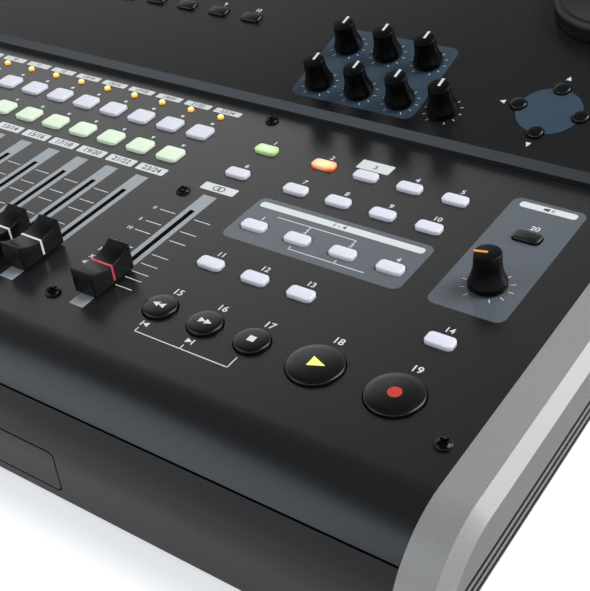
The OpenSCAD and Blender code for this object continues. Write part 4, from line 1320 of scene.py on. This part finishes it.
class RECORDER_OT_keys(RecorderOperator):
    """White and lit keys of the fader panel, black keys of the monitor and the deck"""

    bl_idname = "recorder.keys"
    bl_label = "Keys"

    glow_reach = (0.58, 0.68, 0.4)
    lime_glow, coral_glow = 0.12, 0.35
    window_half = 27 * MM

    def add(self, s, name, size, plane, places, look, slot, body, nodes):
        bm = stamped(flat_key(s, size), [at(plane, x, y) for x, y in places])
        add_piece(name, bm, body, [look], nodes)

    def build(self, s, f):
        c = colours()
        row = [channel_x(i) for i in range(CHANNELS)]
        self.add(s, "select_caps", s.channel_key, PANEL, [(x, s.select_row) for x in row],
                 f.mint, "key_white", "select_keys", ["select_keys"])
        self.add(s, "arm_caps", s.channel_key, PANEL, [(x, s.arm_row) for x in row],
                 f.white, "key_white", "arm_keys", ["arm_keys"])
        lime_at, coral_at = (MASTER_X, s.arm_row), (key_x(0), s.arm_row)
        places = [(MASTER_X, s.select_row)]
        places += [(key_x(i), y) for y in (s.locate_row, s.select_row) for i in range(4)]
        places += [(key_x(i), s.arm_row) for i in range(1, 4)]
        places += [(key_x(i), s.punch_row) for i in range(3)] + [(RECORD_X, s.punch_row)]
        self.add(s, "function_caps", s.function_key, PANEL, places,
                 f.white, "key_white", "function_keys", ["function_keys"])
        w, d = s.function_key
        reach = [v * part for v, part in zip((w, d, d), self.glow_reach)]
        for name, place, rim, heart, glow in (
                ("lime", lime_at, c.lime, c.lime_heart, self.lime_glow),
                ("coral", coral_at, c.coral, c.coral_heart, self.coral_glow)):
            centre = PANEL @ Vector((*place, s.key_height))
            look = lit_plastic(f"key_{name}", rim, glow, heart, centre, reach)
            self.add(s, f"{name}_key", s.function_key, PANEL, [place],
                     look, "key_white", "function_keys", [])
        self.add(s, "monitor_cap", s.function_key, PANEL, [(RECORD_X, s.monitor_key_row)],
                 f.key, "key_black", "monitor_key", ["monitor_key"])
        self.deck_keys(s, f)

    def deck_keys(self, s, f):
        wx, wy = s.window_at
        soft_y = wy - self.window_half - s.soft_step
        places = [(wx + i * s.key_pitch, soft_y - j * s.input_step)
                  for i in range(-2, 3) for j in (0, 1)]
        for i in range(TRIMS):
            x, y = spot(DECK, f"trim_knob_{i + 1}_turn")
            places += [(x, y - j * s.input_step) for j in (1, 2)]
        for i in range(3):
            x = spot(DECK, f"track_knob_{i + 1}_turn")[0]
            places += [(x, wy + j * s.input_step / 2) for j in (-1, 1)]
        self.add(s, "deck_caps", s.function_key, DECK, places,
                 f.key, "key_black", "deck_keys", ["deck_keys"])
        places = [at(DECK, x, y) for x, y, _ in round_cursor(s, s.cursor_ring)]
        bm = stamped(round_key(s, s.cursor_key, s.key_height), places)
        add_piece("cursor_caps", bm, "cursor_keys", [f.key], ["cursor_keys"])


class RECORDER_OT_transport(RecorderOperator):
    """Round transport keys with their symbols"""

    bl_idname = "recorder.transport"
    bl_label = "Transport keys"

    play_sign, play_stretch = 5.3 * MM, 1.38
    record_sign = 4.6 * MM
    stop_half = 1.3 * MM
    wind_sign, wind_step = 2.9 * MM, 1.218 * MM

    def symbol(self, node, x, y, s):
        sign = Print(at(PANEL, x, y, s.transport_height - s.inlay), 2)
        if node == "play_key":
            sign.arrow(0, 0, self.play_sign, -pi / 2, self.play_stretch)
        elif node == "record_key":
            sign.dot(0, 0, self.record_sign)
        elif node == "stop_key":
            half = self.stop_half
            sign.bar(-half, half, -half, half)
        else:
            turn = pi / 2 if node == "rewind_key" else -pi / 2
            for k in (-1, 1):
                sign.arrow(k * self.wind_step, 0, self.wind_sign, turn)
        return sign.bm

    def build(self, s, f):
        signs = {"rewind_key": f.pale, "forward_key": f.pale, "stop_key": f.pale,
                 "play_key": f.play, "record_key": f.record}
        for node, ink in signs.items():
            dia = s.big_key if node in ("play_key", "record_key") else s.small_key
            x, y = column(node), s.transport_row
            bm = stamped(round_key(s, dia, s.transport_height), [at(PANEL, x, y)])
            stamp(bm, part_mesh(self.symbol(node, x, y, s)), Matrix(), 1)
            add_piece(f"{node}_cap", bm, node, [f.key, ink], [node])


class RECORDER_OT_knobs(RecorderOperator):
    """Flared knobs with a pointer, and the jog wheel"""

    bl_idname = "recorder.knobs"
    bl_label = "Knobs"

    monitor_turn = 105
    # Waist of a knob: its share of the flare and its height by the knob's height
    waist_flare, waist_high = 0.2, 0.42
    knob_soft = ((1, 0.4 * MM), (2, 3.2 * MM), (3, 0.4 * MM))
    pointer_low = 1 * MM
    top_facing = 0.7
    flutes = 72
    flute = 0.014
    # Jog wheel: dish, inner and outer edge of its rim by its radius, height of its straight side, dimple
    jog_rim = (0.8, 0.86, 0.94)
    jog_side = 0.75
    jog_dish = 0.5 * MM
    jog_soft = ((3, 0.8 * MM), (4, 0.8 * MM))
    dimple_at, dimple_high = 0.29, 0.4

    def knob_mesh(self, s, size):
        foot, top, high = size[0] / 2, size[1] / 2, size[2]
        low, end, shaft = s.knob_gap, s.shaft[1], s.shaft[0] / 2
        waist, mid = top + (foot - top) * self.waist_flare, high * self.waist_high
        bm = turned(
            [(0, high), (top, high), (waist, mid), (foot, low + s.knob_skirt), (foot, low), (shaft, low),
             (shaft, end), (0, end)], 64, self.knob_soft)
        proud = s.inlay
        line = bmesh.new()
        outline = [(0, low + self.pointer_low), (foot + proud, low), (foot + proud, low + s.knob_skirt),
                   (waist + proud, mid), (top + proud, high + proud), (0, high + proud)]
        flat_outline(line, outline, s.pointer)
        bmesh.ops.recalc_face_normals(line, faces=line.faces)
        for face in line.faces:
            face.material_index = 1 if face.normal.z > self.top_facing else 2
        stamp(bm, part_mesh(line), Matrix.Rotation(pi / 2, 4, "Z"))
        return part_mesh(bm)

    def jog_mesh(self, s):
        """A low wheel with a raised rim, a fluted edge and a finger dimple."""
        r, high = s.jog[0] / 2, s.jog[1]
        low, end, shaft = s.knob_gap, s.shaft[1], s.shaft[0] / 2
        dish = high - self.jog_dish
        flat, inner, outer = (r * part for part in self.jog_rim)
        bm = turned(
            [(0, dish), (flat, dish), (inner, high), (outer, high), (r, high * self.jog_side), (r, low),
             (shaft, low), (shaft, end), (0, end)], self.flutes * 2, self.jog_soft)
        step = pi / self.flutes
        inward = [v for v in bm.verts if v.co.xy.length > r - HAIR
                  and round(atan2(v.co.y, v.co.x) / step) % 2]
        bmesh.ops.scale(bm, vec=(1 - self.flute, 1 - self.flute, 1), verts=inward)
        ball = bmesh.new()
        bmesh.ops.create_uvsphere(
            ball, u_segments=64, v_segments=32, radius=s.dimple / 2,
            matrix=Matrix.Translation((0, s.jog[0] * self.dimple_at, dish + s.dimple * self.dimple_high)))
        return part_mesh(carved(bm, ball))

    def build(self, s, f):
        looks = [f.knob, f.orange, f.pink]
        big, small = self.knob_mesh(s, s.monitor_knob), self.knob_mesh(s, s.deck_knob)
        names = ["phones_knob"] + [f"trim_knob_{i + 1}" for i in range(TRIMS)]
        names += [f"track_knob_{i + 1}" for i in range(PAIRS)]
        for name in names:
            bm = stamped(small, [at(DECK, *spot(DECK, f"{name}_turn"))])
            add_piece(f"{name}_cap", bm, name, [f.knob, f.pale, f.pale], [name])
        place = at(PANEL, *spot(PANEL, "monitor_knob_turn"), 0, radians(self.monitor_turn))
        bm = stamped(big, [place])
        add_piece("monitor_knob_cap", bm, "monitor_knob", looks, ["monitor_knob"])
        bm = stamped(self.jog_mesh(s), [at(DECK, *spot(DECK, "jog_wheel_spin"))])
        add_piece("jog_disc", bm, "jog_wheel", [f.jog], ["jog_wheel"])


def screw_mesh(s):
    """A domed screw with a cross recess."""
    head, high, thread, long = s.screw
    inner, shoulder, side = DOME
    bm = turned(
        [(0, high), (head * inner, high * shoulder), (head / 2, high * side), (head / 2, 0),
         (thread / 2, 0), (thread / 2, -long), (0, -long)], 40, DOME_SOFT)
    across, thick, low = RECESS
    blades = [bmesh.new(), bmesh.new()]
    for i, blade in enumerate(blades):
        turn = Matrix.Rotation(i * pi / 2, 4, "Z")
        block(blade, head * across, head * thick, high * low, high * 2, turn)
    return part_mesh(carved(bm, *blades))


class RECORDER_OT_small_parts(RecorderOperator):
    """Screws, lamps and the display window"""

    bl_idname = "recorder.small_parts"
    bl_label = "Small parts"

    screw_in = 6.4 * MM
    screw_row_in = 160.3 * MM
    screw_rows = [y * MM for y in (43.4, 176.4)]
    screw_middle = 116.1 * MM
    deck_screw_rows = [y * MM for y in (9.6, 146.857)]
    rear_screws = (12 * MM, 12 * MM)
    screw_turn = 37
    deck_lamp_step = 14.3 * MM
    # Lamp: shoulder by its radius and crown, top of its straight side by its radius
    lamp_shoulder, lamp_side = (0.62, 0.86), 0.35
    lamp_soft = ((1, 0.5 * MM), (2, 0.5 * MM))
    heart_facing = 0.5
    window_edge = 0.4 * MM

    def screws(self, s, f):
        corner, row = RIGHT_X - self.screw_in, RIGHT_X - self.screw_row_in
        places = [at(PANEL, x, y) for x in (-corner, row, corner) for y in self.screw_rows]
        places += [at(PANEL, row, self.screw_middle)]
        places += [at(DECK, x, y) for x in (-corner, corner) for y in self.deck_screw_rows]
        step, high = (RIGHT_X - self.rear_screws[0]) / 2, self.rear_screws[1]
        places += [at(REAR, i * step, high) for i in range(-2, 3)]
        turns = [Matrix.Rotation(radians(self.screw_turn * i), 4, "Z") for i in range(len(places))]
        bm = stamped(screw_mesh(s), [place @ turn for place, turn in zip(places, turns)])
        add_piece("screws", bm, CASE, [f.screw], ["panel_screws"])

    def lamp_mesh(self, s):
        dia, straight, crown, deep = s.lamp
        r = dia / 2
        across, up = self.lamp_shoulder
        bm = turned(
            [(0, crown), (r * across, crown * up), (r, straight + r * self.lamp_side), (r, -deep),
             (0, -deep)], 32, self.lamp_soft)
        for face in bm.faces:
            face.material_index = 0 if face.normal.z > self.heart_facing else 1
        return part_mesh(bm)

    def lamps(self, s, f):
        mesh, unlit = self.lamp_mesh(s), bmesh.new()
        lit = stamped(mesh, [at(PANEL, channel_x(i), s.lamp_row) for i in range(CHANNELS)])
        for i in range(TRIMS):
            x, y = spot(DECK, f"trim_knob_{i + 1}_turn")
            stamp(unlit, mesh, at(DECK, x, y + self.deck_lamp_step), 0)
        add_piece("lit_lamps", lit, CASE, [f.lamp, f.lamp_rim], ["track_lamps"])
        add_piece("unlit_lamps", unlit, CASE, [f.unlit])

    def window(self, s, f):
        w, d, thick = s.window
        bm = bmesh.new()
        block(bm, w, d, -thick, 0)
        bevel(bm, top_rim(bm, 0), self.window_edge)
        bmesh.ops.transform(bm, matrix=at(DECK, *s.window_at), verts=bm.verts)
        add_piece("window_glass", bm, CASE, [f.glass], ["display_window"])

    def build(self, s, f):
        self.screws(s, f)
        self.lamps(s, f)
        self.window(s, f)


class RECORDER_OT_rear(RecorderOperator):
    """Nuts, rings, latches and small screws of the rear sockets, the power button and the rear numbers"""

    bl_idname = "recorder.rear"
    bl_label = "Rear fittings"

    combo_first, combo_pitch, combo_row = 213.8 * MM, 33 * MM, 57 * MM
    line_first, line_pitch, line_rows = -60.2 * MM, 24 * MM, (65 * MM, 35 * MM)
    power_at = (-217.8 * MM, 35 * MM)
    supply_at = (-189.8 * MM, 35 * MM)
    port_at = (-201.8 * MM, 65 * MM)
    port = (13.4 * MM, 12.4 * MM, 8.6 * MM, 7.8 * MM)
    port_corner, port_rise = 0.8 * MM, 0.5 * MM
    flange_screw = (9.6 * MM, 12.2 * MM, 0.62)
    flange_screw_turn = 0.7
    # Latch tab: width, depth, place over the socket, corner, lower and upper face, rounding
    latch = (8 * MM, 2.4 * MM, 12 * MM)
    latch_corner, latch_sunk, latch_rise, latch_soft = 0.8 * MM, 0.2 * MM, 1.2 * MM, 0.25 * MM
    nut = (16.4 * MM, 2.2 * MM)
    nut_soft, nut_gap, nut_turn = 0.5 * MM, 0.05 * MM, 900
    # Metal rings: width, how deep they start under the face and how far they stand out of it
    mouth = (1.1 * MM, 0.3 * MM, 0.15 * MM)
    ring = (1 * MM, 0.4 * MM, 0.3 * MM)
    ring_gap = 0.1 * MM
    ring_soft = 0.3
    # Prints over the sockets, the button and the inlet
    combo_label, combo_label_over, line_label_over = 1.1, 20 * MM, 12 * MM
    power_sign_over, power_ring, power_bar = 11 * MM, (1.4 * MM, 1.8 * MM), (0.25 * MM, 2.2 * MM)
    supply_line, supply_dashes = (2 * MM, 11.5 * MM), (10.2 * MM, 10.6 * MM)
    dash_step, dash_half = 1.6 * MM, 0.5 * MM
    # Power button: hollow in its face, the hollow's edge and the rim by its radius
    button_hollow, button_rim = 0.5 * MM, (0.7, 0.78)
    button_soft = ((1, 0.2 * MM), (2, 0.2 * MM), (3, 0.4 * MM))

    def collar(self, inner, level, width, sunk, rise):
        """A flat ring that starts under a level and stands out of it."""
        outer, low, high = inner + width, level - sunk, level + rise
        soft = min(high - low, outer - inner) * self.ring_soft
        points = [(inner, low), (outer, low), (outer, high), (inner, high), (inner, low)]
        return part_mesh(turned(points, 48, [(2, soft)]))

    def nut_mesh(self, s):
        """A six-sided nut with a round hole and eased corners."""
        across, high = self.nut
        bm, hole = bmesh.new(), bmesh.new()
        rod(bm, across, 0, high, segments=6)
        bevel(bm, top_rim(bm, high), self.nut_soft, 2)
        rod(hole, s.jack[0] + 2 * self.nut_gap, -CUT, high + CUT, segments=48)
        return part_mesh(carved(bm, hole))

    def metal(self, s, f):
        bm = bmesh.new()
        nut = self.nut_mesh(s)
        mouth = self.collar(s.jack[2] / 2, s.jack[1], *self.mouth)
        for x, y in self.lines():
            stamp(bm, nut, at(REAR, x, y, 0, x * self.nut_turn))
            stamp(bm, mouth, at(REAR, x, y))
        stamp(bm, nut, at(REAR, *self.supply_at))
        ring = self.collar(s.combo[1] / 2 + self.ring_gap, s.combo[0], *self.ring)
        for x in self.combos():
            stamp(bm, ring, at(REAR, x, self.combo_row))
        w, d, inner_w, inner_d = self.port
        shell, hole = bmesh.new(), bmesh.new()
        slab(shell, w, d, self.port_corner, 0, self.port_rise, at(REAR, *self.port_at))
        block(hole, inner_w, inner_d, -CUT, CUT, at(REAR, *self.port_at))
        stamp(bm, part_mesh(carved(shell, hole)), Matrix())
        add_piece("socket_metal", bm, CASE, [f.nickel])

    def combos(self):
        return [self.combo_first - i * self.combo_pitch for i in range(TRIMS)]

    def lines(self):
        return [(self.line_first - i * self.line_pitch, y) for y in self.line_rows for i in range(4)]

    def dark(self, s, f):
        """Latch tabs and the small screws in the corners of the combined sockets' plates."""
        bm = bmesh.new()
        screw = screw_mesh(s)
        across, up, scale = self.flange_screw
        w, d, row = self.latch
        level = s.combo[0]
        for x in self.combos():
            slab(bm, w, d, self.latch_corner, level - self.latch_sunk, level + self.latch_rise,
                 at(REAR, x, self.combo_row + row), 4)
        tabs = add_piece("latch_tabs", bm, CASE, [f.key])
        edge = tabs.modifiers.new("soft_edge", "BEVEL")
        edge.width, edge.segments, edge.limit_method = self.latch_soft, 2, "ANGLE"
        bm = bmesh.new()
        for i, x in enumerate(self.combos()):
            for side in (-1, 1):
                turn = self.flange_screw_turn * i + side
                place = at(REAR, x + side * across, self.combo_row - side * up, level, turn)
                stamp(bm, screw, place @ Matrix.Scale(scale, 4))
        add_piece("flange_screws", bm, CASE, [f.screw])

    def numbers(self, s, f):
        ink = Print(REAR, 1)
        for i, x in enumerate(self.combos()):
            ink.number(i + 1, x, self.combo_row + self.combo_label_over, s.label * self.combo_label)
        for i, (x, y) in enumerate(self.lines()):
            ink.number(i + 1, x, y + self.line_label_over, s.label)
        x, y = self.power_at[0], self.power_at[1] + self.power_sign_over
        half, reach = self.power_bar
        ink.ring(x, y, *self.power_ring)
        ink.bar(x - half, x + half, y, y + reach)
        x, y = self.supply_at
        reach, over = self.supply_line
        ink.line((x - reach, y + over), (x + reach, y + over))
        low, high = self.supply_dashes
        for k in (-1, 0, 1):
            middle = x + k * self.dash_step
            ink.bar(middle - self.dash_half, middle + self.dash_half, y + low, y + high)
        ink.piece("rear_prints", f.ink, "rear_black")

    def power_button(self, s, f):
        dia, reach, deep = s.power
        r = dia / 2
        edge, rim = self.button_rim
        hollow = reach - self.button_hollow
        bm = turned(
            [(0, hollow), (r * edge, hollow), (r * rim, reach), (r, reach), (r, -deep), (0, -deep)],
            48, self.button_soft)
        bmesh.ops.transform(bm, matrix=at(REAR, *self.power_at), verts=bm.verts)
        add_piece("power_cap", bm, "power_button", [f.button], ["power_button"])

    def build(self, s, f):
        self.metal(s, f)
        self.dark(s, f)
        self.numbers(s, f)
        self.power_button(s, f)


class RECORDER_OT_inside(RecorderOperator):
    """Finishes of the sockets, drive, boards and the other carried-over pieces"""

    bl_idname = "recorder.inside"
    bl_label = "Carried-over pieces"

    def build(self, s, f):
        for node, look in (
                ("display_module", f.socket), ("fader_board", f.board), ("deck_board", f.board),
                ("main_board", f.board), ("fader_tracks", f.steel), ("rotary_controls", f.steel),
                ("key_switches", f.socket), ("disc_drive", f.steel), ("combo_sockets", f.socket),
                ("rear_sockets", f.socket), ("disc_tray", f.case)):
            dress(node, look)


class RECORDER_PT_pieces(bpy.types.Panel):
    """Lists the recorder's operators"""

    bl_idname = "RECORDER_PT_pieces"
    bl_label = "Recorder"
    bl_space_type = "VIEW_3D"
    bl_region_type = "UI"
    bl_category = "Recorder"

    def draw(self, context):
        for operator in OPERATORS:
            self.layout.operator(operator.bl_idname)


OPERATORS = (
    RECORDER_OT_stage, RECORDER_OT_shells, RECORDER_OT_prints, RECORDER_OT_deck_prints,
    RECORDER_OT_slides, RECORDER_OT_keys, RECORDER_OT_transport, RECORDER_OT_knobs,
    RECORDER_OT_small_parts, RECORDER_OT_rear, RECORDER_OT_inside)
CLASSES = (RecorderSizes, RecorderColours, *OPERATORS, RECORDER_PT_pieces)


def register():
    for cls in CLASSES:
        bpy.utils.register_class(cls)
    bpy.types.Scene.recorder_sizes = bpy.props.PointerProperty(type=RecorderSizes)
    bpy.types.Scene.recorder_colours = bpy.props.PointerProperty(type=RecorderColours)


def unregister():
    del bpy.types.Scene.recorder_colours
    del bpy.types.Scene.recorder_sizes
    for cls in reversed(CLASSES):
        bpy.utils.unregister_class(cls)


def main():
    register()
    for operator in OPERATORS:
        group, name = operator.bl_idname.split(".")
        getattr(getattr(bpy.ops, group), name)()


if __name__ == "__main__":
    main()
